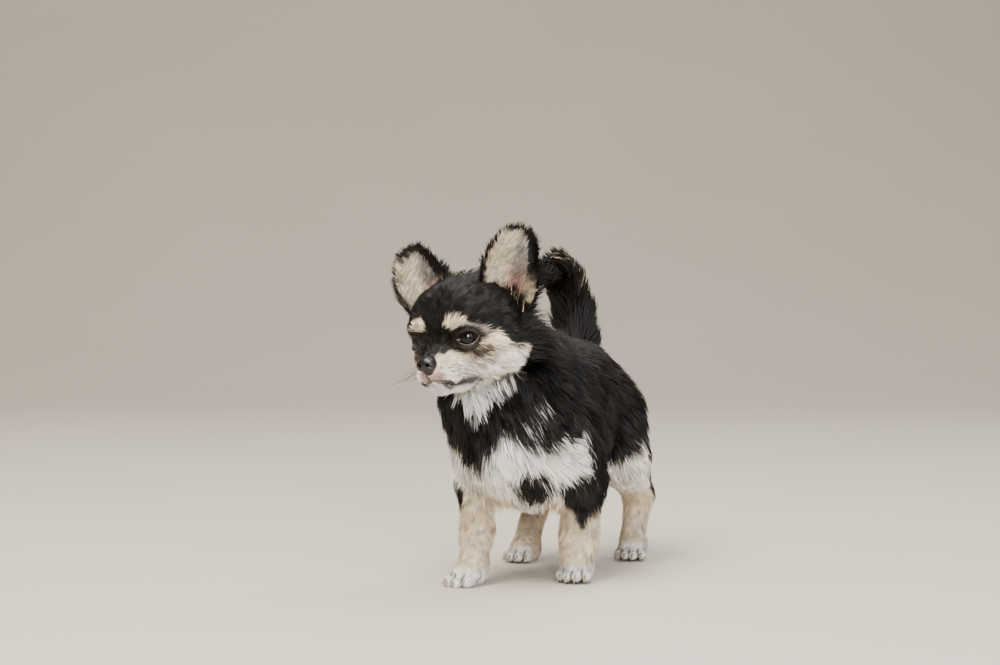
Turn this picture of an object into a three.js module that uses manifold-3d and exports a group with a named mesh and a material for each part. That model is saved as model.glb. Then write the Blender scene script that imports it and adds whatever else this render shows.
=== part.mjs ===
// A life-size chihuahua puppy with a long coat, stepping forward with its head turned a little to its right.
// Millimetres, +Z up, the floor is z = 0. The puppy faces -Y, so its left side is +X.
import * as THREE from 'three';
import { mergeVertices } from 'three/addons/utils/BufferGeometryUtils.js';
import { LoftGeometry } from 'three/addons/geometries/LoftGeometry.js';
import Module from 'manifold-3d';

const wasm = await Module();
wasm.setup();

const at = (x, y, z) => new THREE.Vector3(x, y, z);
const degrees = THREE.MathUtils.degToRad;

// Driving dimensions, all measured over the coat.
const gap = 0.35; // between touching nodes
const wideGap = { collar: 0.77, trunk: 0.92, lock: 0.525 }; // where curved surfaces are cut by coarser ones
const cell = { body: 9.4, leg: 6.6, paw: 4, skull: 7.4, face: 4, nose: 2.4, tail: 6.6 }; // size of a face
const head = { yaw: -10, pitch: 8, roll: -6.5, place: at(-21, -88, 154) };
const eye = { radius: 7.4, side: 15.3, front: -23.8, up: -1.4, outward: 33, wide: 6.2, tall: 4.3, lid: 1 };
const ears = {
  left: { side: 1, outward: 22, base: at(25, 6, 10), tip: at(42, 11, 56) },
  right: { side: -1, outward: -8, base: at(-22, 7, 10), tip: at(-39, 12, 51) },
};
const earLeaf = { thick: 2.4, rim: 1.3, bow: 2.2, across: 7 }; // across is the number of points
const nose = { wide: 6.2, deep: 5, front: -46.6, up: -11.6 };
const chestRadius = 34;
const rumpRadius = 31;
const neckRadius = 29;
const ankle = 14; // height of the cut between a leg and its paw
const tailCut = 157; // height of the cut between the root of the tail and its plume
const toes = { spread: [-1.78, -0.62, 0.62, 1.78], front: { middle: -10.5, outer: -6.8 } };
const claw = { out: 2.4, root: 1.1, tip: 0.3, low: 0.7 };

// The places of the skeleton that the flesh is built on.
const joint = {
  pelvis: at(-3, 55, 112),
  loin: at(2, 22, 111),
  withers: at(0, -26, 112),
  belly: at(0, 42, 95),
  ribs: at(1, -6, 86),
  brisket: at(-2, -38, 85),
  breast: at(-8, -60, 92),
  throat: at(-21, -72, 112),
  neckBase: at(-6, -48, 118),
  nape: at(-11, -61, 139),
};

// Each leg: hip or shoulder, knee or elbow, hock or wrist, the joint over the paw, and the paw's middle.
const legs = {
  foreleg_left: {
    top: at(24, -36, 92), bend: at(31, -27, 60), wrist: at(30, -31, 27), pastern: at(29, -33, 15),
    paw: at(30, -36, 0), turn: 4, mass: 21, thick: [13.6, 11.8, 10.6], toe: 4.5, tiptoe: 0,
  },
  foreleg_right: {
    top: at(-27, -43, 92), bend: at(-31, -45, 60), wrist: at(-26, -59, 30), pastern: at(-25, -66, 17),
    paw: at(-26, -73, 0), turn: -26, mass: 21, thick: [12.6, 10.2, 9.4], toe: 4.5, tiptoe: 10,
  },
  hindleg_left: {
    top: at(23, 52, 96), bend: at(33, 43, 68), wrist: at(32, 82, 41), pastern: at(30, 76, 14),
    paw: at(31.5, 69, 0), turn: 8, mass: 23, thick: [17, 9.6, 8.4], toe: 4.2, tiptoe: 0,
  },
  hindleg_right: {
    top: at(-27, 45, 96), bend: at(-33, 28, 68), wrist: at(-30, 62, 40), pastern: at(-31, 42, 14),
    paw: at(-31, 35, 0), turn: -8, mass: 23, thick: [17, 9.6, 8.4], toe: 4.2, tiptoe: 0,
  },
};

const tailPath = [
  at(-8, 68, 120), at(-13, 89, 140), at(-19, 97, 160), at(-22, 92, 180), at(-23, 77, 188), at(-24, 61, 184),
];
const tailRadii = [12, 12, 10.5, 9.2, 8.4, 6.5];

// A form is a function of a place that gives about how far outside the flesh it is, negative inside.

function limb(a, b, ra, rb) {
  const dx = b.x - a.x;
  const dy = b.y - a.y;
  const dz = b.z - a.z;
  const span = dx * dx + dy * dy + dz * dz;
  return (x, y, z) => {
    const px = x - a.x;
    const py = y - a.y;
    const pz = z - a.z;
    const t = Math.min(1, Math.max(0, (px * dx + py * dy + pz * dz) / span));
    return Math.hypot(px - dx * t, py - dy * t, pz - dz * t) - (ra + (rb - ra) * t);
  };
}

function egg(centre, rx, ry, rz) {
  const smallest = Math.min(rx, ry, rz);
  return (x, y, z) => {
    const px = (x - centre.x) / rx;
    const py = (y - centre.y) / ry;
    const pz = (z - centre.z) / rz;
    const k = Math.hypot(px, py, pz);
    const steep = Math.hypot(px / rx, py / ry, pz / rz);
    return steep > 0 ? (k * (k - 1)) / steep : -smallest;
  };
}

// Joins forms with a fillet of about the given size.
function melt(fillet, ...forms) {
  return (x, y, z) => {
    let d = forms[0](x, y, z);
    for (let i = 1; i < forms.length; i++) {
      const e = forms[i](x, y, z);
      const h = Math.max(fillet - Math.abs(d - e), 0) / fillet;
      d = Math.min(d, e) - (h * h * fillet) / 4;
    }
    return d;
  };
}

const grown = (form, by) => (x, y, z) => form(x, y, z) - by;

function slopeOf(form, p) {
  const e = 0.05;
  return at(
    form(p.x + e, p.y, p.z) - form(p.x - e, p.y, p.z),
    form(p.x, p.y + e, p.z) - form(p.x, p.y - e, p.z),
    form(p.x, p.y, p.z + e) - form(p.x, p.y, p.z - e),
  ).multiplyScalar(0.5 / e);
}

// The corners, edges and faces of one cell. A corner's three bits say on which side it is along x, y and z.
const cellCorners = [0, 1, 2, 3, 4, 5, 6, 7].map((c) => [c & 1, (c >> 1) & 1, c >> 2]);
const cellEdges = [];
for (const step of [1, 2, 4])
  for (let a = 0; a < 8; a++) if (!(a & step)) cellEdges.push([a, a | step]);
const edgeOf = (a, b) => cellEdges.findIndex(([c, d]) => (a === c && b === d) || (a === d && b === c));
const cellFaces = [];
for (let axis = 0; axis < 3; axis++)
  for (const side of [0, 1 << axis]) {
    const u = 1 << ((axis + 1) % 3);
    const w = 1 << ((axis + 2) % 3);
    const ring = [side, side | u, side | u | w, side | w];
    cellFaces.push({ ring, edges: ring.map((c, i) => edgeOf(c, ring[(i + 1) % 4])) });
  }

// Gives the crossed edges of a cell as groups, one for each sheet of surface that passes through it.
function sheetsIn(v) {
  const group = cellEdges.map(([a, b], i) => (v[a] < 0 !== v[b] < 0 ? i : -1));
  const join = (e, f) => {
    const from = group[e];
    const to = group[f];
    for (let i = 0; i < 12; i++) if (group[i] === from) group[i] = to;
  };
  for (const { ring, edges } of cellFaces) {
    const crossed = edges.filter((e) => group[e] >= 0);
    if (crossed.length === 2) join(crossed[0], crossed[1]);
    else if (crossed.length === 4)
      ring.forEach((c, i) => {
        if (v[c] < 0) join(edges[i], edges[(i + 3) % 4]);
      });
  }
  return group;
}

// The rows of a grid along one axis, from one place to another with steps of about a size. The steps may
// change at places given as further pairs of an end and a size.
function rows(from, ...pairs) {
  const list = [from];
  for (let i = 0; i < pairs.length; i += 2) {
    const start = list[list.length - 1];
    const count = Math.max(1, Math.round((pairs[i] - start) / pairs[i + 1]));
    for (let k = 1; k <= count; k++) list.push(start + ((pairs[i] - start) * k) / count);
  }
  return list;
}

// The surface of a form on a grid, as a net of quads with a point in each cell that the surface crosses.
function netOf(form, grid) {
  const [xs, ys, zs] = grid;
  const n = grid.map((row) => row.length);
  const values = new Float32Array(n[0] * n[1] * n[2]);
  const index = (i, j, k) => i + n[0] * (j + n[1] * k);
  const onEdge = (i, j, k, wide) =>
    Math.min(i, j, k) < wide || i > n[0] - 1 - wide || j > n[1] - 1 - wide || k > n[2] - 1 - wide;
  for (let k = 0; k < n[2]; k++)
    for (let j = 0; j < n[1]; j++)
      for (let i = 0; i < n[0]; i++) {
        const d = form(xs[i], ys[j], zs[k]);
        values[index(i, j, k)] = onEdge(i, j, k, 1) ? Math.max(d, 1) : d;
      }
  const pointAt = new Map();
  const places = [];
  for (let k = 0; k < n[2] - 1; k++)
    for (let j = 0; j < n[1] - 1; j++)
      for (let i = 0; i < n[0] - 1; i++) {
        const v = cellCorners.map(([a, b, c]) => values[index(i + a, j + b, k + c)]);
        if (v.every((d) => d < 0) || v.every((d) => d >= 0)) continue;
        const group = sheetsIn(v);
        for (const sheet of new Set(group.filter((g) => g >= 0))) {
          const mean = at(0, 0, 0);
          let crossings = 0;
          cellEdges.forEach(([a, b], e) => {
            if (group[e] !== sheet) return;
            const t = v[a] / (v[a] - v[b]);
            mean.add(at(...cellCorners[a]).lerp(at(...cellCorners[b]), t));
            crossings++;
            pointAt.set(index(i, j, k) * 12 + e, places.length / 3);
          });
          const span = at(xs[i + 1] - xs[i], ys[j + 1] - ys[j], zs[k + 1] - zs[k]);
          mean.divideScalar(crossings).multiply(span).add(at(xs[i], ys[j], zs[k]));
          const settled = settle(form, mean);
          const far = settled.distanceTo(mean) > span.length() * 0.25;
          const keep = onEdge(i, j, k, 2) || far ? mean : settled;
          places.push(keep.x, keep.y, keep.z);
        }
      }
  const faces = [];
  const spot = (i) => at(places[3 * i], places[3 * i + 1], places[3 * i + 2]);
  const steps = [at(1, 0, 0), at(0, 1, 0), at(0, 0, 1)];
  for (let k = 0; k < n[2] - 1; k++)
    for (let j = 0; j < n[1] - 1; j++)
      for (let i = 0; i < n[0] - 1; i++)
        steps.forEach((step, axis) => {
          const here = values[index(i, j, k)] < 0;
          const next = values[index(i + step.x, j + step.y, k + step.z)] < 0;
          if (here === next) return;
          const u = steps[(axis + 1) % 3];
          const w = steps[(axis + 2) % 3];
          const ring = [[0, 0], [1, 0], [1, 1], [0, 1]].map(([a, b]) => {
            const near = at(a, a, a).multiply(u).add(at(b, b, b).multiply(w));
            const corner = near.x + 2 * near.y + 4 * near.z;
            const own = edgeOf(corner, corner + (1 << axis));
            return pointAt.get(index(i - near.x, j - near.y, k - near.z) * 12 + own);
          });
          if (!here) ring.reverse();
          const [a, b, c, d] = ring;
          if (spot(a).distanceTo(spot(c)) < spot(b).distanceTo(spot(d))) faces.push(a, b, c, a, c, d);
          else faces.push(b, c, d, b, d, a);
        });
  const geometry = new THREE.BufferGeometry();
  geometry.setAttribute('position', new THREE.Float32BufferAttribute(places, 3));
  geometry.setIndex(faces);
  return geometry;
}

// Moves a place along the slope of a form onto its surface.
function settle(form, place) {
  const p = place.clone();
  for (let turn = 0; turn < 2; turn++) {
    const slope = slopeOf(form, p);
    p.addScaledVector(slope, -form(p.x, p.y, p.z) / Math.max(slope.lengthSq(), 0.2));
  }
  return p;
}

// Turns a closed geometry into a solid that can be cut and joined, and a solid back into a geometry.
function solidOf(geometry) {
  const bare = new THREE.BufferGeometry();
  bare.setAttribute('position', geometry.attributes.position);
  bare.setIndex(geometry.index);
  const merged = geometry.attributes.normal ? mergeVertices(bare, 1e-3) : bare;
  const triVerts = new Uint32Array(merged.index.array);
  const vertProperties = merged.attributes.position.array;
  return new wasm.Manifold(new wasm.Mesh({ numProp: 3, vertProperties, triVerts }));
}

function geometryOf(solid) {
  const pieces = solid.decompose();
  const largest = pieces.reduce((a, b) => (b.volume() > a.volume() ? b : a));
  const mesh = largest.getMesh();
  const geometry = new THREE.BufferGeometry();
  geometry.setAttribute('position', new THREE.BufferAttribute(new Float32Array(mesh.vertProperties), 3));
  geometry.setIndex(new THREE.BufferAttribute(new Uint32Array(mesh.triVerts), 1));
  return geometry;
}

const shaped = (form, ...grid) => solidOf(netOf(form, grid));

// The torso, with the muscles of the shoulders and thighs.
const torsoForm = melt(
  16,
  limb(joint.pelvis, joint.loin, rumpRadius, rumpRadius - 1),
  limb(joint.loin, joint.withers, rumpRadius - 1, rumpRadius),
  limb(joint.belly, joint.ribs, rumpRadius - 2, chestRadius),
  limb(joint.ribs, joint.brisket, chestRadius, chestRadius + 1),
  limb(joint.brisket, joint.breast, chestRadius + 1, chestRadius - 6),
  ...Object.values(legs).map((leg) => limb(leg.top, leg.bend, leg.mass, leg.thick[0])),
);
const neckForm = melt(
  10,
  limb(joint.neckBase, joint.nape, neckRadius + 4, neckRadius),
  limb(joint.breast, joint.throat, neckRadius - 2, neckRadius - 6),
);
const trunkForm = melt(14, torsoForm, neckForm);
const trunkGrid = [rows(-80, 80, cell.body), rows(-120, 110, cell.body), rows(20, 170, cell.body)];

// The head in its own frame: the middle of the skull is the origin and the nose points along -Y.
const both = (make) => [make(-1), make(1)];
const skullForm = melt(
  9,
  egg(at(0, 4, 3), 32, 34, 29.5),
  egg(at(0, -13, 8), 26, 19, 21),
  ...both((s) => egg(at(s * 18, -3, -13), 15, 19, 14)),
  ...both((s) => egg(at(s * 24, 8, -13), 11, 14, 13)),
);
const muzzleForm = melt(
  5,
  limb(at(0, -20, -13), at(0, -38, -16), 14, 9),
  limb(at(0, -24, -5), at(0, -40, -10), 7, 5),
  ...both((s) => egg(at(s * 6.4, -36, -19.4), 8, 8.6, 7)),
  limb(at(0, -10, -21), at(0, -36.5, -25.4), 13, 6.2),
);
const browForm = melt(4, ...both((s) => egg(at(s * 13.5, -25, 6.5), 9, 6, 5)));
const eyeMiddle = (s) => at(s * eye.side, eye.front, eye.up);
const lidRadius = eye.radius + 1.5;
const lidForm = melt(1, ...both((s) => egg(eyeMiddle(s), lidRadius, lidRadius, lidRadius)));
const headForm = melt(2.5, melt(8, skullForm, muzzleForm, browForm), lidForm);
const headGrid = [
  rows(-46, -25, cell.skull, 25, cell.face, 46, cell.skull),
  rows(-58, -14, cell.face, 48, cell.skull),
  rows(-44, 14, cell.face, 44, cell.skull),
];

const headGroup = new THREE.Group();
headGroup.position.copy(head.place);
headGroup.rotation.set(degrees(head.pitch), degrees(head.roll), degrees(head.yaw), 'ZXY');
headGroup.updateMatrixWorld(true);
const inBody = (solid) => solid.transform(headGroup.matrixWorld.elements);

const headSolid = shaped(headForm, ...headGrid);
const headRoom = shaped(grown(headForm, gap), ...headGrid);
const collarRoom = shaped(
  grown(headForm, wideGap.collar),
  rows(-50, 50, cell.tail),
  rows(-60, 52, cell.tail),
  rows(-46, 46, cell.tail),
);

// What lies under the line of the mouth, as a prism across the muzzle. The line can be raised a little.
const mouthLine = [
  [-64, -19.6], [-45, -20.4], [-42, -23], [-38, -25.6], [-32, -27], [-26, -27], [-20, -26.4],
];
const underJaw = [[-11, -42], [-11, -70], [-64, -70]];
const prismDepth = 100;

function mouthRegion(raise) {
  const profile = new THREE.Shape();
  const line = [...mouthLine.map(([y, z]) => [y, z + raise]), ...underJaw];
  line.forEach(([y, z], i) => profile[i ? 'lineTo' : 'moveTo'](-y, z));
  const slab = new THREE.ExtrudeGeometry(profile, { depth: prismDepth, bevelEnabled: false });
  const turned = new THREE.Matrix4().makeBasis(at(0, -1, 0), at(0, 0, 1), at(-1, 0, 0));
  return slab.applyMatrix4(turned.setPosition(prismDepth / 2, 0, 0));
}

// Eyes: a ball in a socket, and the rim of the lids as an almond-shaped ring on the ball.
const lidSteps = 16;
const windowReach = [0.2, 2.4]; // how far the opening's cutter runs through the lids, in distances to the rim

function eyeParts(s) {
  const middle = eyeMiddle(s);
  const out = at(s * Math.sin(degrees(eye.outward)), -Math.cos(degrees(eye.outward)), 0.08).normalize();
  const across = at(0, 0, 1).cross(out).normalize();
  const up = out.clone().cross(across);
  const rim = [];
  const r = eye.radius + 0.5;
  for (let i = 0; i < lidSteps; i++) {
    const t = (i / lidSteps) * Math.PI * 2;
    const x = Math.cos(t) * eye.wide;
    const y = Math.sin(t) * eye.tall * (1 - 0.12 * Math.abs(Math.cos(t)));
    const z = Math.sqrt(Math.max(r * r - x * x - y * y, 1));
    rim.push(middle.clone().addScaledVector(across, x).addScaledVector(up, y).addScaledVector(out, z));
  }
  const opening = windowReach.map((far) => rim.map((p) => middle.clone().lerp(p, far)));
  const curve = new THREE.CatmullRomCurve3(rim, true);
  const lid = solidOf(new THREE.TubeGeometry(curve, 18, eye.lid, 5, true));
  const ball = (radius) => {
    const geometry = new THREE.SphereGeometry(radius, 12, 8);
    geometry.rotateX(Math.PI / 2);
    return solidOf(geometry).translate(middle.toArray());
  };
  const window = solidOf(new LoftGeometry(opening, { capStart: true, capEnd: true }));
  return { lid, window, ball: ball(eye.radius), socket: ball(eye.radius + 0.3) };
}
const [eyeRight, eyeLeft] = both(eyeParts);

// Ears: a leaf from the skull to the tip, with half its width and the depth of its hollow given from below
// up. Each is hollow to the front. The left one is turned outward, the right one a little inward.
const earWidths = [14.5, 16.4, 17.8, 18.6, 18.4, 17, 14.2, 9.6, 3.4];
const earHollows = [9, 9, 8.2, 7, 5.6, 4.2, 2.8, 1.4, 0.4];

function earSolid({ side: s, outward, base, tip }) {
  const up = tip.clone().sub(base).normalize();
  const open = at(s * Math.sin(degrees(outward)), -Math.cos(degrees(outward)), 0);
  open.addScaledVector(up, -open.dot(up)).normalize();
  const across = open.clone().cross(up);
  const sections = earWidths.map((wide, i) => {
    const v = i / (earWidths.length - 1);
    const middle = base.clone().lerp(tip, v).addScaledVector(open, earLeaf.bow * Math.sin(v * Math.PI));
    const ring = [];
    for (const face of [1, -1])
      for (let k = 0; k < earLeaf.across; k++) {
        const u = face * (1 - (2 * k) / (earLeaf.across - 1));
        const thick = k % (earLeaf.across - 1) ? earLeaf.thick : earLeaf.rim;
        const deep = -earHollows[i] * (1 - u * u) + (face * thick) / 2;
        ring.push(middle.clone().addScaledVector(across, u * wide).addScaledVector(open, deep));
      }
    return ring;
  });
  return solidOf(new LoftGeometry(sections, { capStart: true, capEnd: true }));
}

// Nose leather with two nostrils.
const nostril = (s) => limb(at(s * 4.2, -51.5, -12.6), at(s * 2.3, -48.6, -11.2), 1.6, 0.9);
const noseBody = melt(
  2,
  egg(at(0, nose.front, nose.up), nose.wide, nose.deep, nose.deep),
  egg(at(0, nose.front, nose.up - 3), 3.4, 4, 3.6),
);
const noseForm = (x, y, z) =>
  Math.max(noseBody(x, y, z), -Math.min(nostril(-1)(x, y, z), nostril(1)(x, y, z)));
const noseGrid = [rows(-9, 9, cell.nose), rows(-55, -39, cell.nose), rows(-22, -4, cell.nose)];
const noseSolid = shaped(noseForm, ...noseGrid);
const noseRoom = shaped(grown(noseBody, gap), ...noseGrid);

// Locks of the long coat: flat, tapered and bent, rooted in the flesh and lying along it, lifting to the tip.
const generator = { factor: 16807, modulus: 2147483647 };
let seed = 1;
function chance(low, high) {
  seed = (seed * generator.factor) % generator.modulus;
  return low + (high - low) * (seed / generator.modulus);
}

const down = at(0, 0, -1);

// The sections of a lock: how deep its root is sunk, each step's part of its length and each section's size.
const lockSections = {
  sunk: 2.6, steps: [0.34, 0.36, 0.3], sizes: [0.75, 1, 0.8, 0.15], low: 0.5, thin: 0.22,
};

// The path of one lock: where each of its sections lies, its width there, and which way is out.
function lockPath(form, root, lie, shape) {
  let p = root;
  for (let turn = 0; turn < 4; turn++) p = settle(form, p);
  let out = slopeOf(form, p).normalize();
  const way = lie.clone().normalize();
  way.addScaledVector(out, -out.dot(way)).normalize();
  const { sunk, steps, sizes, low } = lockSections;
  const path = [{ p: p.clone().addScaledVector(out, -sunk), out, way, size: sizes[0] }];
  const heights = [low, 0.35 * shape.lift + low, shape.lift];
  steps.forEach((part, i) => {
    const v = (i + 1) / steps.length;
    const heading = lie.clone().normalize().lerp(down, shape.fall * v).normalize();
    out = slopeOf(form, p).normalize();
    const into = out.dot(heading);
    heading.addScaledVector(out, -into * (into < 0 ? 1 : 1 - shape.fall)).normalize();
    p = p.clone().addScaledVector(heading, shape.length * part);
    const d = form(p.x, p.y, p.z);
    out = slopeOf(form, p).normalize();
    const pull = d > heights[i] ? 1 - shape.fall : 1;
    p.addScaledVector(out, (heights[i] - d) * pull);
    path.push({ p, out, way: heading, size: sizes[i + 1] });
  });
  return path;
}

function lockSolid(path, shape, extra) {
  const sections = path.map(({ p, out, way, size }, i) => {
    const side = out.clone().cross(way).normalize();
    const over = way.clone().cross(side).normalize();
    const wide = (shape.wide * size) / 2 + extra;
    const thick = Math.max((shape.thick * size) / 2, lockSections.thin) + extra;
    const middle = p.clone();
    if (extra && i === path.length - 1) middle.addScaledVector(way, extra * 2);
    return [
      middle.clone().addScaledVector(side, wide),
      middle.clone().addScaledVector(over, thick),
      middle.clone().addScaledVector(side, -wide),
      middle.clone().addScaledVector(over, -thick),
    ];
  });
  return solidOf(new LoftGeometry(sections, { capStart: true, capEnd: true }));
}

// Grows a list of locks on a form. Each entry is a root, the lie of the hair there and a shape.
function coatOf(form, entries) {
  const made = entries.map(([root, lie, shape]) => {
    const own = { ...shape, length: shape.length * chance(0.85, 1.2), wide: shape.wide * chance(0.85, 1.15) };
    const astray = at(chance(-0.16, 0.16), chance(-0.16, 0.16), chance(-0.16, 0.16));
    const path = lockPath(form, root, lie.clone().normalize().add(astray), own);
    return { solid: lockSolid(path, own, 0), room: lockSolid(path, own, wideGap.lock) };
  });
  return {
    solid: wasm.Manifold.union(made.map((one) => one.solid)),
    room: wasm.Manifold.union(made.map((one) => one.room)),
  };
}

// Roots on a ring round an axis. An angle of 0 is to the front, and positive is to the left.
function ringOf(centre, axis, radius, from, to, count, lieAt, shape) {
  const left = at(1, 0, 0).addScaledVector(axis, -axis.x).normalize();
  const front = left.clone().cross(axis);
  return Array.from({ length: count }, (_, i) => {
    const turn = degrees(from + ((to - from) * (i + 0.5)) / count + chance(-4, 4));
    const outward = left.clone().multiplyScalar(Math.sin(turn)).addScaledVector(front, Math.cos(turn));
    const root = centre.clone().addScaledVector(outward, radius).addScaledVector(axis, chance(-2.5, 2.5));
    return [root, lieAt(outward), shape];
  });
}

const collar = joint.nape.clone().sub(joint.neckBase).normalize();
const collarAt = collar.dot(joint.neckBase) + 5;
const upright = at(0, 0, 1);
const ruffShape = { length: 27, wide: 15, thick: 3.4, lift: 4.5, fall: 0.3 };
const napeShape = { length: 22, wide: 16, thick: 3, lift: 1.4, fall: 0 };
const chestShape = { length: 28, wide: 15, thick: 3.6, lift: 6, fall: 0.4 };
const flatShape = { length: 30, wide: 15, thick: 3, lift: 2.4, fall: 0 };
const fringeShape = { length: 19, wide: 13, thick: 3.2, lift: 3.5, fall: 0.65 };
const hanging = (outward) => at(outward.x * 0.4, outward.y * 0.2 + 0.2, -1);
const downNeck = (outward) => collar.clone().negate().addScaledVector(outward, 0.3).add(at(0, 0, -0.5));

const upNeck = (far) => joint.neckBase.clone().addScaledVector(collar, far);

const neckCoat = coatOf(trunkForm, [
  ...ringOf(upNeck(26), collar, 30, -95, 95, 6, downNeck, ruffShape),
  ...ringOf(upNeck(14), collar, 34, -125, 125, 9, downNeck, ruffShape),
  ...ringOf(upNeck(12), collar, 34, 130, 230, 3, downNeck, napeShape),
]);
const torsoCoat = coatOf(trunkForm, [
  ...ringOf(at(-9, -48, 88), upright, 36, -90, 90, 7, hanging, chestShape),
  ...ringOf(at(-6, -46, 71), upright, 32, -85, 85, 6, hanging, chestShape),
  ...ringOf(at(-3, -40, 56), upright, 22, -95, 95, 5, hanging, fringeShape),
  ...both((s) => [at(s * 38, -18, 108), at(s * 40, -6, 84)])
    .flat()
    .map((root) => [root, at(0, 0.85, -0.6), flatShape]),
  ...both((s) => [at(s * 30, 62, 128), at(s * 34, 76, 106)])
    .flat()
    .map((root) => [root, at(0, 0.7, -0.8), flatShape]),
  ...both((s) => [at(s * 17, -8, 54), at(s * 18, 18, 62)])
    .flat()
    .map((root) => [root, at(0, 0.7, -0.8), fringeShape]),
  ...both((s) => [at(s * 9, 94, 106), at(s * 24, 88, 94)])
    .flat()
    .map((root) => [root, at(0, 0.25, -1), fringeShape]),
]);
const cheekShape = { length: 17, wide: 11, thick: 2.8, lift: 3.2, fall: 0.1 };
const headCoat = coatOf(headForm, [
  ...both((s) => [at(s * 31, 2, -9), at(s * 29, 2, -19), at(s * 22, 0, -26)].map((root) => [
    root,
    at(s * 0.35, 0.8, -0.6),
    cheekShape,
  ])).flat(),
]);

const dog = new THREE.Group();
dog.add(headGroup);

const coats = {
  black: new THREE.MeshStandardMaterial({ color: 0x15120f, roughness: 0.75, metalness: 0 }),
  cream: new THREE.MeshStandardMaterial({ color: 0xd9c6a5, roughness: 0.8, metalness: 0 }),
  white: new THREE.MeshStandardMaterial({ color: 0xe6e1d8, roughness: 0.8, metalness: 0 }),
  leather: new THREE.MeshStandardMaterial({ color: 0x0b0909, roughness: 0.35, metalness: 0 }),
  eyeball: new THREE.MeshStandardMaterial({ color: 0x0c0a0c, roughness: 0.08, metalness: 0 }),
};

function addNode(name, solid, material, parent = dog) {
  const mesh = new THREE.Mesh(geometryOf(solid), material.clone());
  mesh.name = name;
  parent.add(mesh);
}

// Head
const opened = headSolid.subtract(eyeLeft.window).subtract(eyeRight.window);
const lidded = opened.add(eyeLeft.lid).add(eyeRight.lid).add(headCoat.solid);
const face = lidded.subtract(eyeLeft.socket).subtract(eyeRight.socket).subtract(noseRoom);
const jaw = solidOf(mouthRegion(0));
const jawRoom = solidOf(mouthRegion(gap));
addNode('head', face.subtract(jawRoom), coats.black, headGroup);
addNode('lower_jaw', face.intersect(jaw), coats.white, headGroup);
addNode('nose', noseSolid, coats.leather, headGroup);
addNode('eye_left', eyeLeft.ball, coats.eyeball, headGroup);
addNode('eye_right', eyeRight.ball, coats.eyeball, headGroup);
addNode('ear_left', earSolid(ears.left).subtract(headRoom), coats.black, headGroup);
addNode('ear_right', earSolid(ears.right).subtract(headRoom), coats.black, headGroup);

// Neck and torso, parted by a sloping plane in front of the shoulders
const headAway = inBody(collarRoom.add(headCoat.room));
const trunkSolid = shaped(trunkForm, ...trunkGrid);
const trunkRoom = shaped(grown(trunkForm, wideGap.trunk), ...trunkGrid).add(torsoCoat.room);
const backward = collar.clone().negate();
const neckSolid = trunkSolid.trimByPlane(collar.toArray(), collarAt + gap / 2).add(neckCoat.solid);
const torsoSolid = trunkSolid.add(torsoCoat.solid).trimByPlane(backward.toArray(), -collarAt + gap / 2);
addNode('neck', neckSolid.subtract(headAway), coats.black);
addNode('torso', torsoSolid.subtract(headAway).subtract(neckCoat.room), coats.black);

// Paws: four toes with claws round a pad, cut flat where they stand.
function pawParts(leg) {
  const frame = new THREE.Matrix4().makeTranslation(leg.paw.x, leg.paw.y, leg.paw.z);
  frame.multiply(new THREE.Matrix4().makeRotationZ(degrees(leg.turn)));
  frame.multiply(new THREE.Matrix4().makeRotationX(degrees(leg.tiptoe)));
  const inPaw = (x, y, z) => at(x, y, z).applyMatrix4(frame);
  const t = leg.toe;
  const digits = toes.spread.map((k) => ({
    side: k * t,
    front: Math.abs(k) < 1 ? toes.front.middle : toes.front.outer,
  }));
  const form = melt(
    2.2,
    ...digits.map(({ side, front }) => {
      const knuckle = inPaw(side * 0.8, front + 8, t + 1.6);
      return limb(knuckle, inPaw(side, front, t), t, t);
    }),
    limb(inPaw(0, 6, 6.5), inPaw(0, -2, 6.5), 9, 9.5),
  );
  const claws = digits.map(({ side, front }) => {
    const from = inPaw(side, front - t + 2, t + 0.6);
    const to = inPaw(side * 1.05, front - t - claw.out, 0.9);
    to.z = Math.max(to.z, claw.low);
    const along = to.clone().sub(from).normalize();
    const across = at(0, 0, 1).cross(along).normalize();
    const up = along.clone().cross(across);
    const sections = [[0, claw.root], [0.55, 0.9], [1, claw.tip]].map(([v, r]) =>
      [0, 1, 2, 3].map((i) => {
        const p = from.clone().lerp(to, v);
        const turn = (i * Math.PI) / 2;
        return p.addScaledVector(across, r * Math.cos(turn)).addScaledVector(up, r * Math.sin(turn));
      }),
    );
    return solidOf(new LoftGeometry(sections, { capStart: true, capEnd: true }));
  });
  return { form, claws };
}

for (const [name, leg] of Object.entries(legs)) {
  const paw = pawParts(leg);
  const form = melt(
    7,
    limb(leg.top, leg.bend, leg.mass - 3, leg.thick[0]),
    limb(leg.bend, leg.wrist, leg.thick[0], leg.thick[1]),
    limb(leg.wrist, leg.pastern, leg.thick[1], leg.thick[2]),
    paw.form,
  );
  const low = leg.bend.clone().min(leg.pastern).min(leg.wrist).min(leg.paw).addScalar(-24);
  const high = leg.bend.clone().max(leg.pastern).max(leg.wrist).max(leg.paw).addScalar(24);
  const limbSolid = shaped(
    form, rows(low.x, high.x, cell.leg), rows(low.y, high.y, cell.leg), rows(ankle - 15, high.z, cell.leg),
  );
  addNode(name, limbSolid.trimByPlane([0, 0, 1], ankle + gap / 2).subtract(trunkRoom), coats.cream);
  let pawSolid = shaped(
    form,
    rows(leg.paw.x - 24, leg.paw.x + 24, cell.paw),
    rows(leg.paw.y - 24, leg.paw.y + 24, cell.paw),
    rows(-4, ankle + 6, cell.paw),
  );
  for (const claw of paw.claws) pawSolid = pawSolid.add(claw);
  const under = pawSolid.trimByPlane([0, 0, -1], -(ankle - gap / 2)).trimByPlane([0, 0, 1], 0);
  addNode(name.replace('leg', 'paw'), under, coats.cream);
}

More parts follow.
